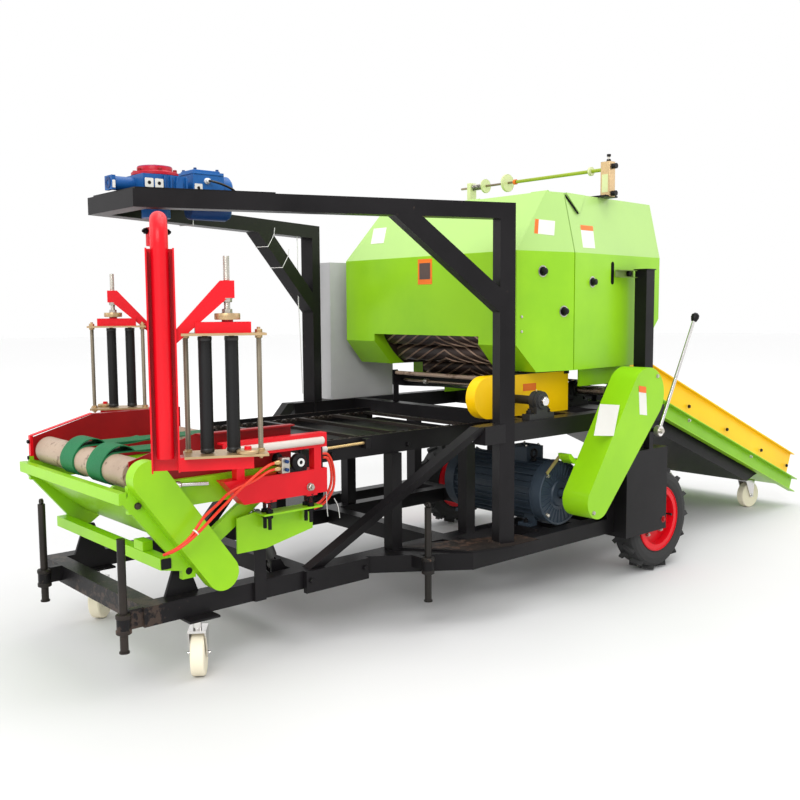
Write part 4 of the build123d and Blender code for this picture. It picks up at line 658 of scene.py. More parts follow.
class Paint:
    """The machine's finishes."""

    # Lime paint, with the painted sky sheen on the roof and the painted shade inside the bale chamber.
    LIME = Finish("lime_enamel", "lime_paint", (0.265, 0.56, 0.006), (0.225, 0.5, 0.006), rough=0.34,
        varnish=0.1, shine=0.25, roof_sheen_chamber_shade=True)
    LIME_DARK = Finish("lime_enamel_grey", "lime_paint", (0.2, 0.3, 0.06), (0.12, 0.18, 0.04), chip=0.4,
        chip_colour=(0.05, 0.05, 0.04), shine=0.25)
    BLACK = Finish("black_enamel", "black_paint", (0.0105, 0.0095, 0.0105), (0.0055, 0.005, 0.0055),
        rough=0.38, chip=0.1, chip_colour=(0.05, 0.035, 0.028), shine=0.14, worn_front=0.12)
    BLACK_WORN = Finish("black_enamel_worn", "black_paint", (0.02, 0.014, 0.012), (0.006, 0.005, 0.005),
        rough=0.5, chip=0.6, chip_colour=(0.07, 0.04, 0.028), dust=0.06, shine=0.2)
    RED = Finish("signal_red_enamel", "red_paint", (0.7, 0.003, 0.011), (0.58, 0.002, 0.009), rough=0.36,
        varnish=0.08, shine=0.22)
    RED_DARK = Finish("dark_red_enamel", "red_paint", (0.3, 0.005, 0.006), (0.19, 0.003, 0.005), rough=0.42,
        shine=0.2)
    RED_DEEP = Finish("cover_red", "red_paint", (0.46, 0.004, 0.022), (0.34, 0.003, 0.016), rough=0.36,
        shine=0.25)
    BLUE = Finish("gearbox_blue", "blue_paint", (0.006, 0.1, 0.33), (0.005, 0.065, 0.23), shine=0.3)
    BLUE_DARK = Finish("gearbox_blue_deep", "blue_paint", (0.004, 0.04, 0.16), (0.003, 0.026, 0.11),
        rough=0.45, shine=0.25)
    YELLOW = Finish("guard_yellow", "yellow_paint", (0.96, 0.59, 0.002), (0.9, 0.52, 0.002), rough=0.34,
        dust=0.02, shine=0.2)
    MOTOR = Finish("motor_slate_blue", "motor_paint", (0.032, 0.048, 0.068), (0.018, 0.03, 0.044), rough=0.42,
        dust=0.04, shine=0.3)
    GREY = Finish("cabinet_grey", "grey_paint", (0.5, 0.5, 0.5), (0.44, 0.44, 0.44), rough=0.42, dust=0.04,
        shine=0.3)
    STEEL = metal("dark_oiled_steel", "dark_steel", (0.03, 0.022, 0.018), (0.012, 0.01, 0.008), rough=0.45,
        metal=0.5, grain=90, bump=0.0006)
    STEEL_BRIGHT = metal("chain_pin_steel", "dark_steel", (0.18, 0.15, 0.13), (0.08, 0.065, 0.05), rough=0.35,
        metal=0.85, grain=90)
    ROLLER = metal("chamber_roller_brown", "dark_steel", (0.05, 0.028, 0.02), (0.018, 0.011, 0.009),
        rough=0.42, metal=0.35, grain=70, bump=0.0006)
    RIB = metal("roller_rib_worn", "dark_steel", (0.4, 0.28, 0.2), (0.16, 0.1, 0.07), rough=0.38, metal=0.6,
        grain=80)
    BRONZE = metal("greased_shaft", "dark_steel", (0.34, 0.27, 0.2), (0.2, 0.15, 0.11), rough=0.3, metal=0.85)
    ZINC = metal("zinc_plate", "zinc", (0.54, 0.51, 0.45), (0.38, 0.36, 0.32), rough=0.34, metal=0.85,
        grain=120)
    ZINC_YELLOW = metal("yellow_zinc", "zinc", (0.54, 0.38, 0.2), (0.4, 0.28, 0.15), rough=0.38, metal=0.7,
        grain=120)
    BAR = metal("threaded_bar_grey", "zinc", (0.26, 0.22, 0.16), (0.16, 0.135, 0.1), rough=0.45, metal=0.6,
        grain=120)
    BRASS = metal("brass_rod", "zinc", (0.62, 0.44, 0.2), (0.48, 0.33, 0.15), rough=0.3, metal=0.9)
    CHROME = metal("bright_chrome", "chrome", (0.72, 0.7, 0.68), (0.56, 0.55, 0.54), rough=0.16, metal=1,
        grain=60, bump=0.0001)
    CAST = metal("cast_bearing_dark", "cast_grey", (0.022, 0.022, 0.022), (0.011, 0.011, 0.011), rough=0.5,
        metal=0.1, grain=260, bump=0.001, shine=0.3)
    TYRE = rubber("tyre_rubber", "tyre_rubber", (0.0085, 0.008, 0.0075), (0.0045, 0.0045, 0.0045), rough=0.78,
        grain=220, bump=0.0008, dust=0.02, shine=0.06)
    RUBBER = rubber("film_roller_rubber", "roller_rubber", (0.0075, 0.0075, 0.008), (0.005, 0.005, 0.005),
        rough=0.55, grain=200, shine=0.25)
    BELT = belt("green_belting", "belt_green", (0.012, 0.15, 0.055), (0.008, 0.105, 0.038), rough=0.6,
        bump=0.0006, dust=0.02, shine=0.2)
    BELT_BLACK = belt("black_belting", "belt_black", (0.01, 0.01, 0.01), (0.006, 0.006, 0.006), rough=0.65,
        bump=0.0007, dust=0.04, shine=0.2)
    NYLON = plastic("cream_nylon", "cream_nylon", (0.62, 0.53, 0.36), (0.5, 0.41, 0.26), rough=0.42, grain=90,
        bump=0.0003, chip=0.25, chip_colour=(0.3, 0.23, 0.14), dust=0.1)
    CREAM = plastic("worn_roller_tube", "cream_tube", (0.4, 0.3, 0.22), (0.27, 0.195, 0.14), rough=0.42,
        chip=0.75, chip_colour=(0.15, 0.095, 0.065), shine=0.3)
    CREAM_DARK = plastic("roller_rim_worn", "cream_tube", (0.33, 0.25, 0.18), (0.22, 0.16, 0.11), rough=0.5,
        chip=0.4, chip_colour=(0.12, 0.08, 0.05))
    CYLINDER = Finish("cylinder_dark", "cylinder_grey", (0.06, 0.058, 0.055), (0.035, 0.034, 0.032),
        chip=0.15, dust=0.02)
    HOSE = plastic("red_air_hose", "red_paint", (0.8, 0.048, 0.016), (0.66, 0.03, 0.012), rough=0.32,
        grain=60, bump=0.0001, shine=0.4)
    CABLE = plastic("black_cable", "roller_rubber", (0.008, 0.008, 0.008), (0.005, 0.005, 0.005), rough=0.45,
        grain=60, bump=0.0001)
    TIE = plastic("white_tie", "cream_nylon", (0.72, 0.72, 0.7), (0.62, 0.62, 0.6), grain=60, bump=0.0001)
    WHITE = Finish("blank_plate_white", "grey_paint", (0.72, 0.71, 0.66), (0.64, 0.63, 0.58), rough=0.35,
        dust=0.02)
    WHITE_TUBE = Finish("white_tube", "grey_paint", (0.62, 0.57, 0.52), (0.52, 0.46, 0.41), rough=0.38)
    ORANGE = Finish("blank_plate_orange", "yellow_paint", (0.8, 0.17, 0.012), (0.7, 0.13, 0.012), rough=0.35,
        shine=0.3)
    # Painted shade: dark sheets stand for the shade inside slots in the shell.
    SLOT_SHADE = Finish("painted_shade_slot", "black_paint", (0.004, 0.004, 0.004), (0.002, 0.002, 0.002), rough=0.8,
        shine=0.1)
    PLATE_DARK = Finish("blank_plate_brown", "black_paint", (0.075, 0.045, 0.035), (0.045, 0.028, 0.022))
    OLIVE = Finish("olive_tube", "lime_paint", (0.26, 0.34, 0.01), (0.19, 0.25, 0.008))
    PALE = plastic("pale_plastic", "cream_nylon", (0.58, 0.63, 0.32), (0.47, 0.52, 0.25), rough=0.35,
        grain=60, bump=0.0002)


NODE_FINISH: tuple[tuple[Finish, str], ...] = (
    (Paint.LIME, "bale_door belt_guard feed_trough film_base rear_shell table_frame"),
    (Paint.BLUE, "arm_gearbox"), (Paint.GREY, "cabinet*"), (Paint.YELLOW, "chain_guard feed_boards"),
    (Paint.CHROME, "clutch_lever tilt_rod caster_*_fork"), (Paint.CAST, "drive_shafts"),
    (Paint.BELT_BLACK, "feed_belt"), (Paint.RED, "film_beam rim_* wrap_arm"), (Paint.ZINC_YELLOW, "film_discs"),
    (Paint.ZINC, "film_frames"), (Paint.MOTOR, "motor"), (Paint.STEEL, "slat_chain jack_leg_*"),
    (Paint.BELT, "table_belts"), (Paint.CREAM, "table_roller_*"), (Paint.RED_DARK, "table_sides"),
    (Paint.CYLINDER, "tilt_cylinder"), (Paint.TYRE, "tyre_*"), (Paint.NYLON, "caster_*_wheel"),
    (Paint.ROLLER, "chamber_roller_*"), (Paint.RUBBER, "film_roller_*"),
)


def dress_nodes() -> None:
    """Gives each shown frame node its finish, which is black enamel where no other is named."""
    for name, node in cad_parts.items():
        fitting = [made for made, names in NODE_FINISH if any(fnmatch(name, part) for part in names.split())]
        finish = fitting[0] if fitting else Paint.BLACK
        for slot in node.material_slots:
            slot.material = finish.material()
        log.info("%s wears %s", name, finish.name)


@dataclass
class Studio:
    """Floor, lights and camera.

    The camera is a plain pinhole fitted to the machine's own corners: place in the drafting frame, turn in
    degrees.
    """

    camera_place: tuple[float, float, float] = (-1.2849, -3.0992, 1.208)
    yaw: float = 48.6406
    pitch: float = 5.5936
    roll: float = -0.3515
    focal_pixels: float = 937.55
    frame_pixels: float = 800.0
    sensor: float = 36.0
    lights: tuple[tuple[str, tuple[float, float, float], tuple[float, float, float], float, float],
        ...] = (("key", (-4.8, -5.0, 5.5), (1.6, 0.0, 0.7), 4.0, 400.0), ("fill", (-6.0, 3.5, 4.5),
        (1.2, 0.0, 0.8), 5.0, 130.0), ("top", (2.4, -0.5, 7.0), (2.0, 0.0, 0.5), 6.0, 300.0),
        ("side", (7.5, -4.5, 3.5), (2.4, 0.0, 0.7), 4.0, 70.0))

    def build(self) -> None:
        """Adds the floor, the world, the lights and the camera."""
        self.floor()
        self.world()
        for name, place, target, size, power in self.lights:
            self.light(name, place, target, size, power)
        self.camera()
        bpy.context.scene.view_settings.view_transform = "Standard"
        bpy.context.scene.view_settings.look = "None"

    def floor(self) -> None:
        """A pale round floor that curls up nowhere: one flat disc."""
        shell = turned([(40000, -10), (40000, 0)], (2086.5, 0, -1.5), Axis.Z, 96)
        disc = obj_of("floor", shell, 0.0)
        made = bpy.data.materials.new("pale_floor")
        made.use_nodes = True
        tree = Nodes(made.node_tree)
        place = tree.add("ShaderNodeTexCoord").outputs["Object"]
        shader = tree.add("ShaderNodeBsdfPrincipled")
        cloud = tree.ramp(tree.noise(place, 0.6, 3.0, 0.5), ((0.3, (0.6, 0.6, 0.6)),
            (0.7, (0.64, 0.64, 0.64))))
        x, y = tree.split(place, "X"), tree.split(place, "Y")
        far = tree.span(tree.math("ADD", tree.math("MULTIPLY", x, x), tree.math("MULTIPLY", y, y)), 6.0, 36.0,
            0.0, 1.0)
        tree.join(tree.blend(cloud, (0.97, 0.97, 0.97), far), shader.inputs["Base Color"])
        shader.inputs["Roughness"].default_value = 0.75
        tree.join(shader.outputs["BSDF"], tree.add("ShaderNodeOutputMaterial").inputs["Surface"])
        disc.data.materials.append(made)

    def world(self) -> None:
        """Even white surroundings."""
        world = bpy.data.worlds.new("studio")
        bpy.context.scene.world = world
        world.use_nodes = True
        background = world.node_tree.nodes["Background"]
        background.inputs["Color"].default_value = (1.0, 1.0, 1.0, 1.0)
        background.inputs["Strength"].default_value = 1.0

    def light(self, name: str, place: Triple, target: Triple, size: float, power: float) -> None:
        """Adds one square area light that looks at a point.

        Args:
            name: Name of the light.
            place: Its place in the drafting frame.
            target: What it looks at.
            size: Side length.
            power: Power in watts.
        """
        data = bpy.data.lights.new(name, "AREA")
        data.shape, data.size, data.energy = ("SQUARE", size, power)
        lamp = bpy.data.objects.new(name, data)
        start, end = Vector(np.array(place) - SHIFT), Vector(np.array(target) - SHIFT)
        lamp.matrix_world = Matrix.Translation(start) @ (end - start).to_track_quat("-Z",
            "Y").to_matrix().to_4x4()
        bpy.context.scene.collection.objects.link(lamp)

    def camera(self) -> None:
        """Adds the camera: forward, right and up vectors from yaw and pitch, then turned by the roll."""
        yaw, pitch, roll = np.radians((self.yaw, self.pitch, self.roll))
        ahead = np.array([np.cos(yaw) * np.cos(pitch), np.sin(yaw) * np.cos(pitch), -np.sin(pitch)])
        right = np.array([np.sin(yaw), -np.cos(yaw), 0.0])
        up = np.cross(right, ahead)
        side, top = np.cos(roll) * right + np.sin(roll) * up, np.cos(roll) * up - np.sin(roll) * right
        data = bpy.data.cameras.new("photo_camera")
        data.sensor_width = self.sensor
        data.lens = self.focal_pixels / self.frame_pixels * self.sensor
        data.clip_start, data.clip_end = (0.05, 60.0)
        camera = bpy.data.objects.new("photo_camera", data)
        place = np.array(self.camera_place) - SHIFT
        turn = np.stack([side, top, -ahead], 1)
        matrix = np.eye(4)
        matrix[:3, :3], matrix[:3, 3] = (turn, place)
        camera.matrix_world = Matrix(matrix.tolist())
        bpy.context.scene.collection.objects.link(camera)
        bpy.context.scene.camera = camera


# Small shared shapes
def helix(start: Triple, axis: Way, radius: float, turn: float, first: float, length: float, width: float,
    height: float, steps: int = 36) -> Shell:
    """Bar that winds round a roller: at share s of its length it stands at angle first + s * turn.

    Args:
        start: Point of the roller's axis where the bar begins.
        axis: Direction of the roller's axis.
        radius: Radius that the bar lies on.
        turn: Angle that it winds through.
        first: Angle of its start.
        length: Length along the axis.
        width: Width round the roller.
        height: Height above the roller.
        steps: Points along the bar.

    Returns:
        A closed shell with a trapezoid section.
    """
    u, v, w = frame_of(axis)
    share = np.linspace(0.0, 1.0, steps)
    offsets = np.array([(-0.5, -0.2), (-0.3, 1.0), (0.3, 1.0), (0.5, -0.2)])
    angle = first + share[:, None] * turn + offsets[None, :, 0] * width / radius
    size = radius + offsets[None, :, 1] * height
    ring = np.cos(angle)[..., None] * u + np.sin(angle)[..., None] * v
    points = np.array(start, float) + (share * length)[:, None, None] * w + size[..., None] * ring
    return Shell(points.reshape(-1, 3), tube_faces(steps, 4))


def plaque(corners: Sequence[Triple], thick: float) -> Shell:
    """Thin sheet over four or more corners in one plane, raised by its thickness along the plane's normal."""
    low = np.array(corners, float)
    normal = np.cross(low[1] - low[0], low[2] - low[0])
    normal /= np.linalg.norm(normal)
    count = len(low)
    points = np.concatenate([low - normal * np.copysign(0.5, thick), low + normal * thick])
    faces: list[Sequence[int]] = [[i, (i + 1) % count, (i + 1) % count + count, i + count]
        for i in range(count)]
    faces += [list(range(count))[::-1], [index + count for index in range(count)]]
    return Shell(points, faces if thick > 0 else [list(face)[::-1] for face in faces])


def within(corners: Sequence[Triple], low: float, high: float, side: float) -> list[Array]:
    """Part of a four-cornered plaque: the band between two heights, shrunk towards its middle.

    Args:
        corners: Top left, top right, bottom right and bottom left corner.
        low: Start of the band, as a share of the height from the top.
        high: End of the band.
        side: Share cut off each side.

    Returns:
        The band's four corners.
    """
    a, b, c, d = (np.array(corner, float) for corner in corners)

    def spot(s: float, t: float) -> Array:
        return (a + (b - a) * s) * (1 - t) + (d + (c - d) * s) * t
    return [spot(side, low), spot(1 - side, low), spot(1 - side, high), spot(side, high)]


def curve(points: Sequence[Triple], samples: int = 12) -> Array:
    """Smooth path through points by Catmull-Rom pieces.

    p(t) = 0.5 * (2 b + (c - a) t + (2 a - 5 b + 4 c - d) t^2 + (3 b - a - 3 c + d) t^3).

    Args:
        points: Points that the path goes through.
        samples: Points a piece.

    Returns:
        The path's points.
    """
    spots = np.array(points, float)
    padded = np.concatenate([[2 * spots[0] - spots[1]], spots, [2 * spots[-1] - spots[-2]]])
    a, b, c, d = (padded[k:len(padded) - 3 + k, None, :] for k in range(4))
    t = np.linspace(0.0, 1.0, samples, endpoint=False)[None, :, None]
    path = 0.5 * (2 * b + (c - a) * t + (2 * a - 5 * b + 4 * c - d) * t ** 2 + (3 * b - a - 3 * c
        + d) * t ** 3)
    return np.concatenate([path.reshape(-1, 3), spots[-1:]])


def bolts(places: Iterable[Triple], axis: Axis, across: float, height: float, shank: float = 0.0) -> Shell:
    """Hexagon heads at several places that all look one way."""
    return merge([hex_head(place, axis, across, height, shank) for place in places])


# Wrapping arm and table
@dataclass
class FilmUnits:
    """Both film units on the turning arm: threaded bars, nuts, discs and bolts.

    Local places are x along the arm from its axis, y across and z up.
    """

    arm_x: float = 297
    heading: float = 243.4
    centre: float = 723
    spindle_y: float = 185
    plates: tuple[float, float] = (785, 1134)
    plate: float = 6
    disc_low: float = 1178.3
    disc_top: float = 1196.3
    spindle_top: float = 1360.4
    block_low: float = 1240
    rods: tuple[tuple[float, float], ...] = ((688, 66), (723, 274))
    foot: tuple[float, float] = (763, 232)

    def build(self) -> None:
        """Adds the pieces of both units."""
        for turn, label in ((0, "near"), (180, "far")):
            place = Matrix.Translation((self.arm_x, 0, 0)) @ Matrix.Rotation(np.radians(self.heading + turn),
                4, "Z")
            self.unit(place, label)
        self.hub()

    def unit(self, place: Matrix, label: str) -> None:
        """Adds the pieces of one unit."""

        def add(name: str, finish: Finish, *shells: Shell) -> None:
            put(f"film_{name}_{label}", finish, merge(shells).placed(place), body="wrap_arm")

        up, down = Axis.Z, Axis.DOWN
        x, y, low_face, top_face = self.centre, self.spindle_y, self.disc_low, self.disc_top
        add("spindle_thread", Paint.ZINC, threaded((x, y, top_face), (x, y, self.spindle_top), 9.4, 5, 1.1))
        add("spindle_nuts", Paint.ZINC, hex_head((x, y, top_face), up, 26, 11),
            hex_head((x, y, self.block_low), down, 26, 10))
        add("disc_seat", Paint.RED, turned([(16.6, 1172.2), (16.6, 1178.1)], (x, y, 0), up, 24))
        rim = [(36.2, low_face - 0.2), (37.2, low_face + 3), (37.2, top_face - 3), (36.2, top_face + 0.2),
            (20, top_face + 0.6), (20, top_face - 2), (34, top_face - 3), (34, low_face + 3)]
        add("disc_rim", Paint.ZINC_YELLOW, ring_of(rim, (x, y, 0), up, 40))
        low, high = self.plates
        bars, heads = [], []
        for a, b in self.rods:
            bars.append(threaded((a, b, low + self.plate), (a, b, high), 8, 5, 0.8))
            heads += [hex_head((a, b, high + self.plate), up, 19, 9, 6), hex_head((a, b, low), down, 19, 9, 4),
                hex_head((a, b, high), down, 19, 8), hex_head((a, b, low + self.plate), up, 19, 8)]
        add("guide_bars", Paint.BAR, *bars)
        add("guide_nuts", Paint.ZINC_YELLOW, *heads)
        add("plate_skins", Paint.ZINC_YELLOW, *[slab((x - 62.6, 51.4, level - 0.4),
            (x + 62.6, 290.6, level + self.plate + 0.4)) for level in self.plates])
        a, b = self.foot
        dish = [(20.4, low + 6.2), (30, low + 6.6), (32.5, low + 9), (32.5, low + 15), (29.5, low + 18.2),
            (12, low + 18.6)]
        add("foot_disc", Paint.ZINC_YELLOW, turned(dish, (a, b, 0), up, 36))
        add("foot_nut", Paint.RED, hex_head((a, b, low + 18.6), up, 18, 8))
        add("roller_collars", Paint.CABLE, *[turned([(19.7, 0), (20.4, 2), (20.4, 10), (19.6, 12)], (x, c, z),
            up, 24) for c in (119, 195) for z in (low + 9.5, high - 15.5)])

    def hub(self) -> None:
        """Clamp bolts on the hub of the arm."""
        put("arm_hub_bolts", Paint.BLACK, bolts([(self.arm_x - 34, 0, 1484)], Axis.FRONT, 20, 12, 6),
            bolts([(self.arm_x + 34, 0, 1484)], Axis.X, 20, 12, 6), body="wrap_arm")


@dataclass
class Gearbox:
    """Red cover, pads, bolts and cable of the arm's gearboxes."""

    x: float = 297
    centre: float = 1641
    wide: float = 88

    def build(self) -> None:
        """Adds the pieces."""
        put("gearbox_red_cover", Paint.RED_DEEP, turned([(79, 1673.1), (81.6, 1676), (81.6, 1684.2),
            (79.5, 1686.8), (64, 1688.2), (61.2, 1692), (61.2, 1703.5), (59, 1708.2), (30, 1709.2),
            (28, 1708.2), (14, 1708.6), (13, 1714.2), (10, 1715.8)], (self.x, 0, 0), Axis.Z, 48))
        angle = np.arange(6) * TURN / 6 + 0.3
        put("gearbox_cover_bolts", Paint.RED_DARK, bolts(np.stack([self.x + 71.5 * np.cos(angle),
            71.5 * np.sin(angle), np.full(6, 1687.4)], 1), Axis.Z, 12, 8))
        pads, bores = [], []
        for x, y in ((self.x - 67, -self.wide), (self.x - 30, -self.wide), (self.x + 139, -58),
            (self.x - 67, self.wide), (self.x + 48, self.wide)):
            side = -1 if y < 0 else 1
            pads.append(prism(rounded((31, 31), 3) + (x, self.centre), y + side * 0.2, y + side * 2.2,
                Axis.Y))
            axis = Axis.NEAR if side < 0 else Axis.Y
            bores.append(turned([(6.2, 0), (6.2, 0.6), (5, 0.9)], (x, y + side * 2.2, self.centre),
                axis, 20))
        put("gearbox_pads", Paint.WHITE, *pads)
        put("gearbox_bores", Paint.BLACK, *bores)
        start = self.x - 174
        put("gearbox_flange_face", Paint.BLUE_DARK, ring_of([(9, 0), (20, 0), (20, 2.2), (9, 2.2)],
            (start, 0, self.centre), Axis.FRONT, 28))
        put("gearbox_flange_side", Paint.WHITE, prism(rounded((10, 26), 2) + (start + 7, self.centre - 6),
            -28.4, -30, Axis.Y))
        put("gearbox_ribs", Paint.BLUE, *[slab((x - 3, -86.8, 1613.5), (x + 3, -77.6, 1670))
            for x in (self.x - 6, self.x + 18, self.x + 42, self.x + 78)], bevel=1)
        put("gearbox_lids", Paint.BLUE, prism(rounded((112, 104), 12) + (self.x + 181, 0), 1701.2, 1707.5),
            prism(rounded((132, 122), 10) + (self.x + 181, 0), 1690.5, 1696.5), bevel=1)
        put("gearbox_lid_bolts", Paint.BLUE_DARK, bolts([(self.x + 181 + a, b, 1707.5) for a in (-45, 45)
            for b in (-42, 42)], Axis.Z, 10, 6))
        put("gearbox_gland", Paint.TIE, turned([(11, 0), (11, 6), (8.5, 7), (8.5, 16), (5, 19)],
            (470, -58, 1668), Axis.NEAR, 16))
        put("gearbox_cable", Paint.CABLE, pipe(curve([(470, -72, 1668), (476, -92, 1664), (505, -105, 1655),
            (548, -106, 1640), (575, -100, 1620.5), (590, -92, 1616.8)]), 4.2, 10))
        put("gearbox_fan_cover", Paint.BLUE, turned([(40, 0), (47, 4), (47, 52), (40, 60)], (530, 0, 1651),
            Axis.X, 36))
        put("arm_motor_under", Paint.BLUE_DARK, turned([(30, 0), (34, 6), (34, 150), (24, 168)],
            (430, 10, 1568), Axis.X, 28), slab((470, -12, 1575), (540, 32, 1605.2)))


@dataclass
class WrapTable:
    """Loose belts, bearings and small parts of the tilting table."""

    belt_y: tuple[float, ...] = (-158, 65)
    belt_half: float = 53.6
    roller_x: tuple[float, float] = (20, 520)
    roller_z: float = 690
    lip_y: float = 420.3

    def build(self) -> None:
        """Adds the pieces."""
        add = partial(put, body="wrap_table")
        for number, y in enumerate(self.belt_y):
            add(f"table_belt_slack_{number}", Paint.BELT, self.slack(y), smooth=60)
        ends = [(x, side) for x in self.roller_x for side in (-1, 1)]
        add("table_roller_rims", Paint.CREAM_DARK, *[turned([(30, 0), (50.5, 1), (50.5, 6), (30, 7)],
            (x, side * 358.5, self.roller_z), (0, side, 0), 36) for x, side in ends])
        add("table_shaft_nuts", Paint.BLACK, *[hex_head((x, side * 400.2, self.roller_z), (0, side, 0),
            34, 14, 8) for x, side in ends])
        add("table_far_flange", Paint.RED, prism(((-32, 742), (205, 807.8), (205, 812), (-32, 746.5)), 394.8,
            419, Axis.Y), slab((-36, 400.4, 640), (-24, 419, 745)), bevel=1)
        add("table_far_bolts", Paint.BLACK, bolts([(-36.5, 409.5, 722), (-36.5, 409.5, 662)], Axis.FRONT, 13,
            7))
        add("table_lip_bolt", Paint.BLACK, hex_head((-10, -self.lip_y, 604), Axis.NEAR, 18, 8))
        add("table_bar_cap", Paint.BLACK, prism(rounded((34, 34), 3) + (79, 405), -self.lip_y, -424.5, Axis.Y))
        add("table_bar_block", Paint.LIME, prism(((60, -300), (96, -300), (96, -235), (60, -235)), 424.2,
            456), bevel=1.5)
        add("table_lip_face", Paint.LIME, prism(((-70.5, 612.8), (-70.5, 650.2), (-69, 650.2), (-69, 612.8)),
            -self.lip_y, self.lip_y, Axis.Y))
        add("table_stay_rod", Paint.CHROME, round_bar((105, -430, 655), (232, -430, 645), 6.5, 1),
            ring_of([(6, -8), (16, -8), (18, -4), (18, 4), (16, 8), (6, 8)], (92, -430, 656), Axis.Y, 28),
            turned([(9.5, 0), (12.5, 4), (12.5, 22), (8.5, 28)], (106, -430, 655), (0.997, 0, -0.078), 20))

    def slack(self, y: float) -> Shell:
        """Loose run of one belt over the front roller.

        The run leaves the roller below, goes round in front and rises above it before it falls onto the plate:
        its radius is 55 mm in front and swells by 30 mm towards the roller's rear.

        Args:
            y: Middle of the belt across the machine.

        Returns:
            A closed shell.
        """
        angle = np.linspace(np.radians(232), np.radians(38), 44)
        swell = np.clip((np.radians(150) - angle) / np.radians(112), 0, 1)
        size = 55 + 30 * np.sin(np.pi / 2 * swell) ** 2
        x, z = self.roller_x[0] + size * np.cos(angle), self.roller_z + size * np.sin(angle)
        share = np.linspace(0, 1, 16)[1:]
        tail_x = x[-1] + share * 165
        tail_z = z[-1] + share * (746.2 - z[-1]) - 8 * np.sin(np.pi * share)
        line = np.stack([np.concatenate([x, tail_x]), np.concatenate([z, tail_z])], 1)
        way = np.gradient(line, axis=0)
        way /= np.linalg.norm(way, axis=1)[:, None]
        out = np.stack([-way[:, 1], way[:, 0]], 1) * 1.8
        section = [(out, -self.belt_half), (out, self.belt_half), (-out, self.belt_half),
            (-out, -self.belt_half)]
        points = np.stack([np.insert(line + shift, 1, y + side, axis=1) for shift, side in section], 1)
        count = len(line)
        faces = grid_faces(count, 4, False, True).tolist()
        faces += [[0, 1, 2, 3], [(count - 1) * 4 + index for index in (3, 2, 1, 0)]]
        return Shell(points.reshape(-1, 3), faces)


@dataclass
class FilmBeam:
    """Bolts, valve block, cylinder tube and air hoses on the red beam beside the table."""

    near: float = -496
    far: float = -446

    def build(self) -> None:
        """Adds the pieces."""
        put("film_rail_tube", Paint.WHITE_TUBE, turned([(8, 0), (13.5, 2), (13.5, 385), (8, 387)],
            (262, -495.5, 753), Axis.X, 28))
        long_bolts = []
        for x in (430, 600):
            for y in (self.near + 10, self.far - 10):
                long_bolts.append(threaded((x, y, 470), (x, y, 580), 6.8, 5, 0.8))
                long_bolts.append(hex_head((x, y, 570), Axis.DOWN, 20, 10))
                long_bolts.append(hex_head((x, y, 526.2), Axis.Z, 20, 10))
                long_bolts.append(hex_head((x, y, 519), Axis.DOWN, 20, 10))
        put("film_beam_bolts", Paint.BLACK, *long_bolts)
        put("film_beam_lugs", Paint.RED, *[slab((x - 22, self.near - 1, 564), (x + 22, self.far + 1, 569.8))
            for x in (430, 600)], bevel=1)
        put("film_rail_studs", Paint.BLACK, *[threaded((x, self.near + 15, 655), (x, self.near + 15, 731), 6,
            4, 0.8) for x in (470, 560, 650)])
        put("film_beam_face_bolt", Paint.ZINC, bolts([(590, self.near, 596)], Axis.NEAR, 22, 12, 6))
        put("valve_block", Paint.ZINC, slab((462, self.near - 22, 660), (494, self.near + 6, 712)), bevel=2)
        put("valve_ports", Paint.BLUE_DARK, *[turned([(5, 0), (6.2, 1), (6.2, 10), (4, 12)],
            (478, self.near - 22, z), Axis.NEAR, 16) for z in (672, 700)])
        put("valve_fittings", Paint.BRASS, *[turned([(6.5, 0), (8.5, 2), (8.5, 14), (6, 18), (6, 24)],
            (462.5, self.near - 8, z), Axis.FRONT, 16) for z in (676, 697)])
        put("film_bearing", Paint.BLACK, turned([(26, 0), (30, 4), (30, 20), (22, 26)],
            (545, self.near + 14, 688), Axis.NEAR, 32), slab((510, self.near + 2, 655.2),
            (580, self.near + 12, 672)))
        put("film_bearing_ring", Paint.TIE, ring_of([(7, 0), (14, 0), (14, 3), (7, 3)],
            (545, self.near - 12, 688), Axis.NEAR, 28))
        self.hoses()

    def hoses(self) -> None:
        """Adds the pair of air hoses to the table and the loop behind the beam."""
        y = self.near - 14
        put("air_hose_first", Paint.HOSE, pipe(curve([(440, y + 6, 697), (410, y - 4, 693),
            (370, y - 10, 676), (300, y - 14, 634), (225, y - 14, 580), (160, y - 12, 528), (108, y - 8, 490),
            (70, y + 10, 464), (52, y + 50, 446)]), 4.8, 12), smooth=60)
        put("air_hose_second", Paint.HOSE, pipe(curve([(440, y + 6, 676), (405, y - 4, 672),
            (350, y - 6, 650), (262, y - 8, 625), (215, y - 6, 592), (165, y - 3, 555), (120, y - 1, 503),
            (84, y + 16, 470), (60, y + 54, 446)]), 4.8, 12), smooth=60)
        put("air_hose_tie", Paint.TIE, ring_of([(5, -2), (11.8, -2), (11.8, 2), (5, 2)], (135, y - 6, 514),
            (-0.8, 0, -0.6), 20))
        put("air_hose_loop", Paint.HOSE, pipe(curve([(665, -462, 700), (700, -455, 692), (728, -446, 650),
            (738, -440, 590), (726, -436, 545), (690, -434, 512), (640, -433, 500), (600, -432, 498)]), 4.8,
            12), pipe(curve([(665, -472, 688), (690, -466, 680), (712, -456, 640), (718, -448, 590),
            (706, -442, 552), (676, -440, 524), (636, -438, 512), (600, -436, 510)]), 4.8, 12), smooth=60)
        put("air_hose_tails", Paint.TIE, pipe(curve([(728, -452, 530), (742, -455, 500), (752, -452, 455)]),
            1.4, 6), pipe(curve([(700, -444, 560), (690, -458, 512), (694, -458, 470)]), 1.4, 6))


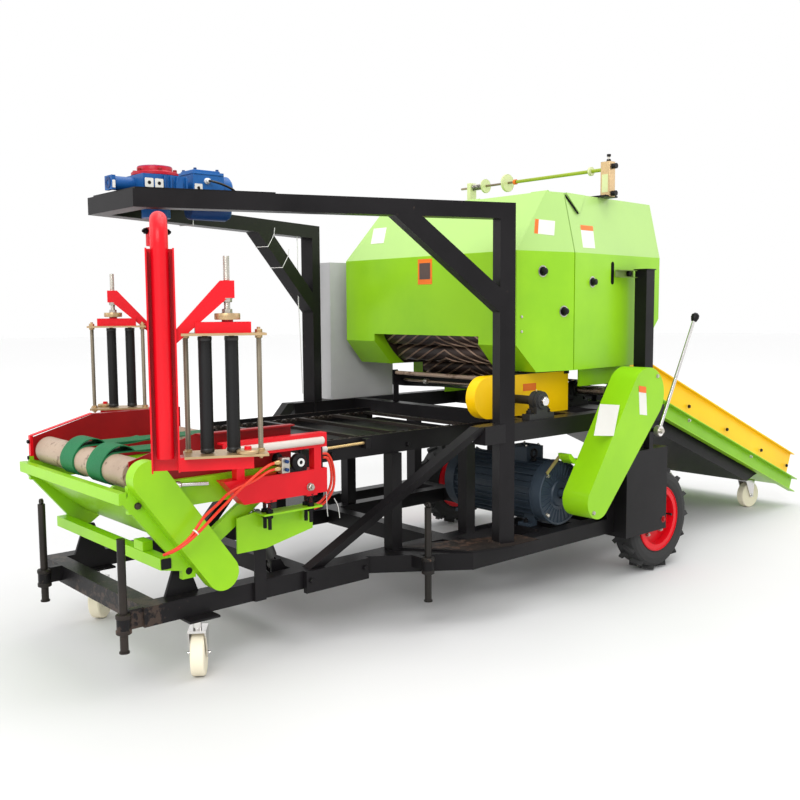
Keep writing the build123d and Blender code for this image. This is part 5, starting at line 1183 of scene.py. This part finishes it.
# Baler
@dataclass
class BalerShell:
    """Ribs of the chamber rollers and the fittings on the shell."""

    chamber: tuple[float, float] = (1985, 1270)
    ring: float = 345
    roller: float = 44
    half: float = 330
    angles: tuple[tuple[str, float], ...] = (("a", 196), ("b", 213), ("c", 230), ("d", 262), ("e", 278))
    ribs: int = 7
    winding: float = 3.6

    def build(self) -> None:
        """Adds the pieces."""
        for name, angle in self.angles:
            turn = np.radians(angle)
            centre = (self.chamber[0] + self.ring * np.cos(turn), 0, self.chamber[1] + self.ring * np.sin(turn))
            firsts = np.arange(self.ribs) * TURN / self.ribs + angle
            put(f"chamber_ribs_{name}", Paint.RIB, *[helix(centre, (0, side, 0), self.roller - 0.5,
                -side * self.winding, first, self.half, 11, 3.8) for side in (-1, 1) for first in firsts],
                body=f"chamber_roller_{name}")
        self.panels()
        self.plates()

    def panels(self) -> None:
        """Adds the bosses, the slots as dark sheets of painted shade, and the panel bolts."""
        near, rear = (-0.1414, -0.98995, 0), (0.0772, -0.997, 0)
        boss = [(19, 0), (19, 4), (13, 4.5), (13, 20), (10, 22)]
        washer = [(24, 0), (24, 1.6), (18, 2)]
        spots = ((1722.3, -574.6, 1355.4), (1840, -591.4, 1190.5))
        on_door = partial(put, body="bale_door")
        on_door("shell_bosses_door", Paint.BLACK, *[turned(boss, spot, near, 28) for spot in spots])
        put("shell_boss_rear", Paint.BLACK, turned(boss, (2034.9, -589.5, 1315.7), rear, 28))
        on_door("shell_washers_door", Paint.ZINC, *[turned(washer, (x, y - 0.2, z), near, 28)
            for x, y, z in spots])
        put("shell_washer_rear", Paint.ZINC, turned(washer, (2034.9, -589.7, 1315.7), rear, 28))
        # Painted shade: the slot in the near side is a dark sheet.
        put("shell_slot_shade", Paint.SLOT_SHADE, prism(rounded((24, 100), 11.8, 6) + (0, 1357), -0.4, 0.9,
            Axis.Y).placed(Matrix.Translation((2195, -577.5, 0)) @ Matrix.Rotation(np.arctan2(55, 710), 4,
            "Z") @ Matrix.Scale(-1, 4, (0, 1, 0))))
        put("lock_post_cap", Paint.BLACK, prism(rounded((74, 74), 4) + (2366, -630), 1372.2, 1377), bevel=1)
        put("lock_link", Paint.LIME_DARK, slab((2200, -612, 1368.5), (2334, -588, 1371.5)),
            slab((2200, -612, 1338), (2334, -588, 1341)), slab((2200, -591, 1340), (2334, -588, 1369.5)))
        put("lock_bolt", Paint.BLACK, turned([(10, 0), (12, 2), (12, 16), (9, 18)], (2290, -590.5, 1355),
            Axis.NEAR, 20))
        # Painted shade: the slot in the roof is a dark sheet.
        put("shell_roof_slot_shade", Paint.SLOT_SHADE, plaque([(1903.5, -543.6, 1669.7), (1964, -561.8, 1601),
            (1972.5, -561, 1604.5), (1904, -541.4, 1683)], 1.2))
        put("shell_roof_flap", Paint.LIME, plaque([(1977, -559.2, 1606), (2056, -527, 1689),
            (1909, -539.8, 1690)], 3))
        on_door("shell_rivets", Paint.ZINC, *[turned([(6, 0), (5, 2), (2, 3)], (1612, -560.2, z), near, 12)
            for z in (1110, 1170)])

    def plates(self) -> None:
        """Adds the blank plates: a white field with an orange band, without any sign."""
        on_door = partial(put, body="bale_door")
        front = [(1584.8, 33, 1425), (1584.8, -59, 1425), (1584.8, -59, 1313), (1584.8, 33, 1313)]
        on_door("plate_front", Paint.ORANGE, plaque(front, -1.2))
        on_door("plate_front_field", Paint.PLATE_DARK, plaque(within(front, 0.16, 0.8, 0.12), -1.8))
        hip = np.array([(1711.1, -540.7, 1568.8), (1819.2, -557.1, 1565.1), (1799.1, -569.2, 1503.8),
            (1693.6, -551.5, 1509)])
        on_door("plate_hip", Paint.WHITE, plaque(hip[::-1], 1.2))
        inner = hip * 0.82 + hip[[1, 0, 3, 2]] * 0.18
        on_door("plate_hip_band", Paint.ORANGE, plaque([hip[3], inner[3], inner[0], hip[0]], 1.8))
        rear = [(1977.2, -564.7, 1556.7), (2073, -557.3, 1556.7), (2061.2, -581.4, 1460), (1968, -588.5, 1460)]
        put("plate_rear", Paint.WHITE, plaque(rear[::-1], 1.2))
        put("plate_rear_band", Paint.ORANGE, plaque(within(rear, 0, 0.22, 0)[::-1], 1.8))
        on_door("plate_far_hip", Paint.WHITE, plaque([(1653.8, 445.8, 1518), (1653.8, 350, 1518),
            (1722, 407.1, 1598.2), (1722, 502.9, 1598.2)], 1.2))
        put("plate_guard", Paint.WHITE, plaque([(1795, -789, 689), (1928, -789, 675), (1966, -789, 801),
            (1833, -789, 815)], 1.2))
        put("plate_yellow", Paint.ORANGE, plaque([(1691, -500, 858), (1774, -500, 858), (1774, -500, 889),
            (1691, -500, 889)], 1.2))


@dataclass
class Drive:
    """Motor trim, bearings, guards and shaft ends."""

    motor_x: float = 1835
    motor_z: float = 418
    near: float = -585

    def build(self) -> None:
        """Adds the pieces."""
        self.motor()
        self.bearings()
        self.guards()

    def motor(self) -> None:
        """Adds the motor's ribs, bolts, eye, lid, foot bolts and tension bar."""
        x, z = self.motor_x, self.motor_z
        angle = np.arange(30) * TURN / 30
        ribs = []
        for a in angle:
            ray, across = np.array([np.cos(a), 0, np.sin(a)]), np.array([-np.sin(a), 0, np.cos(a)])
            centre = np.array([x, self.near, z])
            corners = [centre + ray * r + across * s for r, s in ((70, -1.6), (128, -2.4), (128, 2.4),
                (70, 1.6))]
            ribs.append(plaque(corners if np.cross(corners[1] - corners[0], corners[2]
                - corners[0])[1] < 0 else corners[::-1], 4.5))
        put("motor_bell_ribs", Paint.MOTOR, *ribs)
        put("motor_bell_rim", Paint.MOTOR, ring_of([(24, 0), (58, 0), (54, 7), (24, 7)], (x, self.near, z),
            Axis.NEAR, 40), ring_of([(128, -2), (137.8, -2), (137.8, 4), (134, 7), (128, 5)],
            (x, self.near, z), Axis.NEAR, 56))
        put("motor_bell_bolts", Paint.ZINC, bolts([(x + 119 * np.cos(a), self.near, z + 119 * np.sin(a))
            for a in np.arange(4) * TURN / 4 + TURN / 8], Axis.NEAR, 14, 9))
        put("motor_seams", Paint.MOTOR, *[ring_of([(137.2, y), (139.2, y), (139.2, y + 6), (137.2, y + 6)],
            (x, 0, z), Axis.Y, 56) for y in (self.near + 46, -78)])
        angle = np.linspace(0, TURN, 33)[:-1]
        put("motor_eye", Paint.BLACK, turned([(11, 0), (13, 2), (13, 8), (7, 11), (7, 18)],
            (x - 35, -470, z + 128), Axis.Z, 20), pipe(np.stack([x - 35 + 17 * np.cos(angle),
            np.full(32, -470), z + 162 + 17 * np.sin(angle)], 1), 5.5, 12, closed=True))
        put("motor_terminal_lid", Paint.MOTOR, prism(rounded((98, 98), 8) + (x, -390), z + 185.1, z + 189.5),
            bevel=1)
        put("motor_terminal_screws", Paint.ZINC, bolts([(x + a, -390 + b, z + 189.5) for a in (-40, 40)
            for b in (-40, 40)], Axis.Z, 8, 5))
        put("motor_foot_bolts", Paint.BLACK, bolts([(x + side * 112, y, 293.1) for side in (-1, 1)
            for y in (-493, -112)], Axis.Z, 18, 11, 6))
        put("motor_tension_bar", Paint.ZINC_YELLOW, plaque([(1722, -600, 522), (1812, -600, 592),
            (1821, -600, 580), (1731, -600, 510)], -4))
        put("motor_tension_lug", Paint.LIME, prism(((1800, 596), (1818, 596), (1845, 570), (1960, 556),
            (1960, 540), (1835, 552), (1806, 576)), -600.5, -658, Axis.Y), bevel=1)

    def bearings(self) -> None:
        """Adds bearing rings, grease nipples, foot bolts and bright shaft ends."""
        rings, heads, nipples = [], [], []
        for x, y, z in ((2175, -392, 830), (2175, -606, 830), (1640, -627, 830)):
            for side in (-1, 1):
                rings.append(ring_of([(19, 0), (33, 0), (31, 6), (19, 7)], (x, y + side * 20, z),
                    (0, side, 0), 32))
            rings.append(ring_of([(39.5, -6), (42.5, -6), (42.5, 6), (39.5, 6)], (x, y, z), Axis.Y, 32))
            heads += [hex_head((x + a, y, 781.1), Axis.Z, 20, 12, 8) for a in (-58, 58)]
            nipples.append(turned([(3.5, 0), (3.5, 6), (2.5, 10)], (x - 12, y, z + 38.5), (-0.3, 0, 0.95),
                10))
        put("bearing_rings", Paint.CAST, *rings)
        put("bearing_bolts", Paint.BLACK, *heads)
        put("grease_nipples", Paint.BRASS, *nipples)
        put("sprocket_shaft_end", Paint.CHROME, turned([(18.4, 0), (18.4, 22), (16.5, 24.2)],
            (1640, -644.5, 830), Axis.NEAR, 28))
        put("sprocket_shaft_key", Paint.ZINC, slab((1636.5, -669.5, 844.2), (1643.5, -648, 850)))
        put("drive_shaft_sleeve", Paint.BRONZE, turned([(18.4, 0), (18.4, 176)], (2175, -585.5, 830),
            (0, 1, 0), 28))
        put("drive_coupling", Paint.RED, ring_of([(18.6, 0), (34, 0), (34, 16), (18.6, 16)],
            (2175, -630, 830), Axis.NEAR, 32))

    def guards(self) -> None:
        """Adds the edge strip of the yellow guard and the screws of the belt guard."""
        put("chain_guard_edge", Paint.BLACK, slab((1560, -501.2, 929.5), (1991.2, -449, 934.5)),
            slab((1960, -503, 918), (1992.5, -499.5, 935)))
        top, low = np.array([2175, 830]), np.array([1835, 412])
        way = (top - low) / np.linalg.norm(top - low)
        put("belt_guard_screws", Paint.ZINC, bolts([(x, -789, z) for x, z in (top + way * 100, low - way * 56)],
            Axis.NEAR, 14, 6))
        label = [(2100, -789, 874), (2154, -789, 866), (2166, -789, 742), (2112, -789, 750)]
        put("plate_flank", Paint.WHITE, plaque(label[::-1], 1))
        put("plate_flank_band", Paint.ORANGE, plaque(within(label, 0, 0.22, 0)[::-1], 1.6))


# Frame and wheels
@dataclass
class Chassis:
    """Bolts, jack trim and wear marks on the base frame."""

    def build(self) -> None:
        """Adds the pieces."""
        bars = [(1700, 9.5, 898, Paint.CREAM), (1752, 6.8, 862, Paint.BRONZE)]
        for number, (x, radius, z, finish) in enumerate(bars):
            put(f"chamber_bar_{number}", finish, turned([(radius - 1, 0), (radius, 1), (radius, 630),
                (radius - 1, 631)], (x, -315.5, z), Axis.Y, 24))
        put("chamber_bar_collar", Paint.ZINC, turned([(11.5, 0), (12.5, 2), (12.5, 22), (11.5, 24)],
            (1752, 149, 862), Axis.Y, 24))
        put("gusset_wear", Paint.BLACK_WORN, plaque([(1232, -654, 285.2), (1398, -703, 285.2),
            (1555, -703, 285.2), (1555, -594, 285.2), (1062, -392, 285.2)], 1.1))
        put("post_weld", Paint.BLACK_WORN, *[pipe(np.array([(x, -653, 286.5), (x, -593, 286.5)]), 4, 8)
            for x in (1385, 1450)])
        put("sleeve_bolts", Paint.BLACK, bolts([(630, -441.3, 245), (875, -441.3, 245)], Axis.NEAR, 16,
            8))
        for name, x, y, low in (("front_near", -60, -400, 141), ("front_far", -60, 250, 155),
                                ("side", 1050, -600, 115)):
            put(f"jack_foot_ring_{name}", Paint.STEEL, turned([(13, 0), (16.5, 1), (16.5, 6), (13, 7)],
                (x, y, low), Axis.Z, 24), body=f"jack_leg_{name}")
        put("jack_sleeve_collars", Paint.BLACK_WORN, *[turned([(22.5, 0), (24.5, 2), (24.5, 12), (22.5, 14)],
            (x, y, z), Axis.Z, 28) for x, y, z in ((-60, -400, 252.5), (-60, 250, 260.5), (1050, -600, 270.5),
            (-60, -400, 203.5), (-60, 250, 211.5), (1050, -600, 221.5))])
        self.ties()
        put("far_post_cable", Paint.TIE, pipe(curve([(1285, 600, 1590), (1290, 560, 1592), (1300, 560, 1500),
            (1310, 575, 1300), (1330, 590, 1050), (1345, 600, 800)]), 2.2, 8))

    def ties(self) -> None:
        """Adds white ties round the far brace, the far roof beam and the far post."""
        corner, tip = np.array([1385, 650]), np.array([125, 179])
        along = (tip - corner) / np.linalg.norm(tip - corner)
        inward = np.array([-along[1], along[0]])
        inward = inward if inward[1] < 0 else -inward
        width, gap = 65, 2
        slope = np.array([375.0, 308.0])
        slope /= np.linalg.norm(slope)
        cross = np.array([-slope[1], slope[0]])
        rows = [(np.array([375, 1545]) - slope * s, cross, 34.5) for s in (50, 190)]
        rows.append((np.array([860, 1575]), np.array([0, 1]), 30))
        loops = []
        for middle, across, half in rows:
            corners = [(half + gap, -gap), (half + gap, width + gap), (-half - gap, width + gap),
                (-half - gap, -gap)]
            path = []
            for side, depth in corners:
                run, level = middle + across * side
                spot = corner + along * run + inward * depth
                path.append((spot[0], spot[1], level))
            loops.append(pipe(np.array(path), 2.1, 6, closed=True))
            knot = np.array(path[1])
            loops.append(pipe(np.array([knot, knot + (0, -6, 30)]), 1.6, 6))
        put("far_cable_ties", Paint.TIE, *loops)


@dataclass
class Wheels:
    """Bolts, hub nuts and valve stems of the road wheels."""

    hub_z: float = 238.5
    middle: float = 652

    def build(self) -> None:
        """Adds the pieces."""
        for side, label in ((-1, "near"), (1, "far")):
            out = (0, side, 0)
            face = side * (self.middle + 52)
            put(f"rim_nuts_{label}", Paint.ZINC, *[hex_head((AXLE_X + 86 * np.cos(a), face - side * 36,
                self.hub_z + 86 * np.sin(a)), out, 17, 10, 4) for a in np.arange(5) * TURN / 5 + 0.4],
                body=f"wheel_{label}")
            put(f"hub_nut_{label}", Paint.RED_DARK, hex_head((AXLE_X, side * 706.5, self.hub_z), out,
                34, 16, 6))
            put(f"rim_bead_{label}", Paint.RED, ring_of([(147.5, -6), (151.5, -4), (151.5, 4), (147.5, 6)],
                (AXLE_X, side * (self.middle + 45.5), self.hub_z), out, 72), body=f"wheel_{label}")
            put(f"tyre_valve_{label}", Paint.CABLE, turned([(4, 0), (4, 22), (5.5, 23), (5.5, 32)],
                (AXLE_X + 112, face - side * 40, self.hub_z), out, 12), body=f"wheel_{label}")


# Conveyors and small assemblies
@dataclass
class Conveyors:
    """Chain links, bolts, wing nuts and the take-up of both conveyors."""

    slope: float = 21.9
    top: tuple[float, float] = (2480, 872)
    chain: tuple[float, float] = (330, 716.5)
    ends: tuple[float, float] = (700, 1545)
    pitch: float = 25.4
    bolt: tuple[float, float, float] = (700, -416, 706)

    def build(self) -> None:
        """Adds the pieces."""
        self.chains()
        self.take_up()
        self.feed()

    def chains(self) -> None:
        """Adds the rollers and side plates of both slat chains."""
        places = np.arange(*self.ends, self.pitch)
        pins, links = [], []
        for y in (-self.chain[0], self.chain[0]):
            pins += [turned([(5, 0), (5, 22.2)], (x, y - 11.1, self.chain[1]), Axis.Y, 8) for x in places]
            links += [prism(rounded((36, 13), 6.2, 3) + (x + self.pitch / 2, self.chain[1]), start, start + 2,
                Axis.Y) for x in places[::2] for start in (y - 10.6, y + 8.6)]
        put("slat_chain_pins", Paint.STEEL_BRIGHT, *pins)
        put("slat_chain_links", Paint.STEEL, *links)
        put("slat_rail_wear", Paint.BLACK_WORN, *[slab((692, side * 396 - 3, 730.2),
            (1598, side * 396 + 3, 731.6)) for side in (-1, 1)])
        put("slat_rail_bolts", Paint.BLACK, bolts([(x, -400.2, 680) for x in (760, 1130, 1480)], Axis.NEAR,
            16, 8))

    def take_up(self) -> None:
        """Adds the chain's take-up bolt with its washer on the near rail."""
        put("take_up_washer", Paint.TIE, ring_of([(7, 0), (16, 0), (16, 4), (7, 4)], self.bolt, Axis.FRONT, 28),
            turned([(12.5, 0), (14, 2), (14, 18), (11, 21)], self.bolt, Axis.X, 24))
        put("take_up_rod", Paint.BRASS, threaded(self.bolt, (900, -416, 710), 5.8, 4, 0.7))
        put("take_up_block", Paint.BLACK, slab((896, -430, 690), (918, -400.5, 726)), bevel=1.5)

    def feed(self) -> None:
        """Adds bolts on the boards and the belt's take-up on the feed conveyor."""
        angle = np.radians(self.slope)
        along = np.array([np.cos(angle), 0, -np.sin(angle)])
        up = np.array([np.sin(angle), 0, np.cos(angle)])
        origin = np.array([self.top[0], 0, self.top[1]])
        put("feed_board_bolts", Paint.BLACK, *[hex_head(origin + along * s + up * 50 + (0, side * 435.2, 0),
            (0, side, 0), 16, 7) for s in (200, 620, 1040, 1460, 1800) for side in (-1, 1)])
        put("feed_channel_nuts", Paint.ZINC, *[turned([(9, 0), (9, 4), (6, 5), (6, 12)],
            origin + along * s - up * 30 + (0, -465.2, 0), Axis.NEAR, 16) for s in (600, 1300)])
        cleats = []
        for s in np.arange(120, 1740, 200):
            near, far = (origin + along * s + up * 0.2 + (0, y, 0) for y in (-395, 395))
            cleats.append(plaque([near, near + along * 18, far + along * 18, far], 10))
        put("feed_belt_cleats", Paint.BELT_BLACK, *cleats)


@dataclass
class Cabinet:
    """Locks of the control cabinet."""

    def build(self) -> None:
        """Adds the pieces."""
        put("cabinet_locks", Paint.CHROME, *[turned([(12, 0), (12, 4), (9, 6)], (1905, 835.2, z), Axis.Y, 20)
            for z in (900, 1290)], body="cabinet_door")


@dataclass
class TwineDevice:
    """Colours of the twine device: bright screw, pale disc, orange nut, olive tube and plate."""

    x: float = 2200
    z: float = 1814

    def build(self) -> None:
        """Adds the pieces."""
        rows = (("twine_tube", -516.5, -5.5, 8.1, Paint.OLIVE), ("twine_rod", -4, 368.5, 5.6, Paint.BRONZE),
            ("twine_ring", -455.5, -442.5, 19.6, Paint.PALE), ("twine_nut", -5.2, 10.5, 12.6, Paint.ORANGE),
            ("twine_disc", 47.5, 60.5, 42.7, Paint.PALE), ("twine_plate", 195.5, 204.5, 34.6, Paint.PALE))
        for name, start, end, radius, finish in rows:
            edge = min(1.5, radius / 4, (end - start) / 3)
            put(name, finish, turned([(radius - edge, 0), (radius, edge), (radius, end - start - edge),
                (radius - edge, end - start)], (self.x, start, self.z), Axis.Y, 28))
        turns = np.linspace(0, 7 * TURN, 7 * 14)
        put("twine_spring", Paint.ZINC, pipe(np.stack([self.x + 13.5 * np.cos(turns),
            215 + 70 * turns / turns[-1], self.z + 13.5 * np.sin(turns)], 1), 2.2, 6))
        put("twine_post_near", Paint.ZINC_YELLOW, slab((self.x - 20.6, -565.6, 1692),
            (self.x + 20.6, -516.4, 1845.5)), bevel=2)
        put("twine_post_window", Paint.PALE, slab((self.x - 21.2, -557, 1712), (self.x - 20.4, -525, 1790)))
        put("twine_post_far", Paint.PALE, slab((self.x - 22.6, 285.4, 1692), (self.x + 22.6, 308.6, 1836.5)),
            bevel=2)
        put("twine_screw", Paint.ZINC, threaded((self.x, -545, 1845.5), (self.x, -545, 1867), 5.6, 4, 0.5))
        put("twine_screw_nut", Paint.BLACK, hex_head((self.x, -545, 1845.5), Axis.Z, 18, 9))


@dataclass
class Lever:
    """Grip of the clutch lever and the eyes at its foot."""

    def build(self) -> None:
        """Adds the pieces."""
        foot, head = np.array([2300, -762, 660]), np.array([2574, -762, 1160])
        way = (head - foot) / np.linalg.norm(head - foot)
        put("lever_knob", Paint.BLACK, turned([(9, 0), (13, 4), (18.2, 20), (17.6, 32), (10, 41), (3, 43)],
            head - way * 24, way, 28), body="clutch_lever")
        put("lever_hub_ring", Paint.ZINC, ring_of([(22.2, -10), (24.2, -10), (24.2, 10), (22.2, 10)], foot,
            Axis.Y, 32), hex_head(foot + (0, -12.2, 0), Axis.NEAR, 20, 10), body="clutch_lever")


ASSEMBLIES: tuple = (FilmUnits(), Gearbox(), WrapTable(), FilmBeam(), BalerShell(), Drive(), Chassis(),
    Wheels(), Conveyors(), Cabinet(), TwineDevice(), Lever())


def main() -> None:
    """Builds the sub-assemblies in order."""
    logging.basicConfig(level=logging.INFO, format="%(name)s: %(message)s")
    dress_nodes()
    for assembly in ASSEMBLIES:
        assembly.build()
    Studio().build()
    log.info("%d pieces made", SHOP.made)


if __name__ == "__main__":
    main()
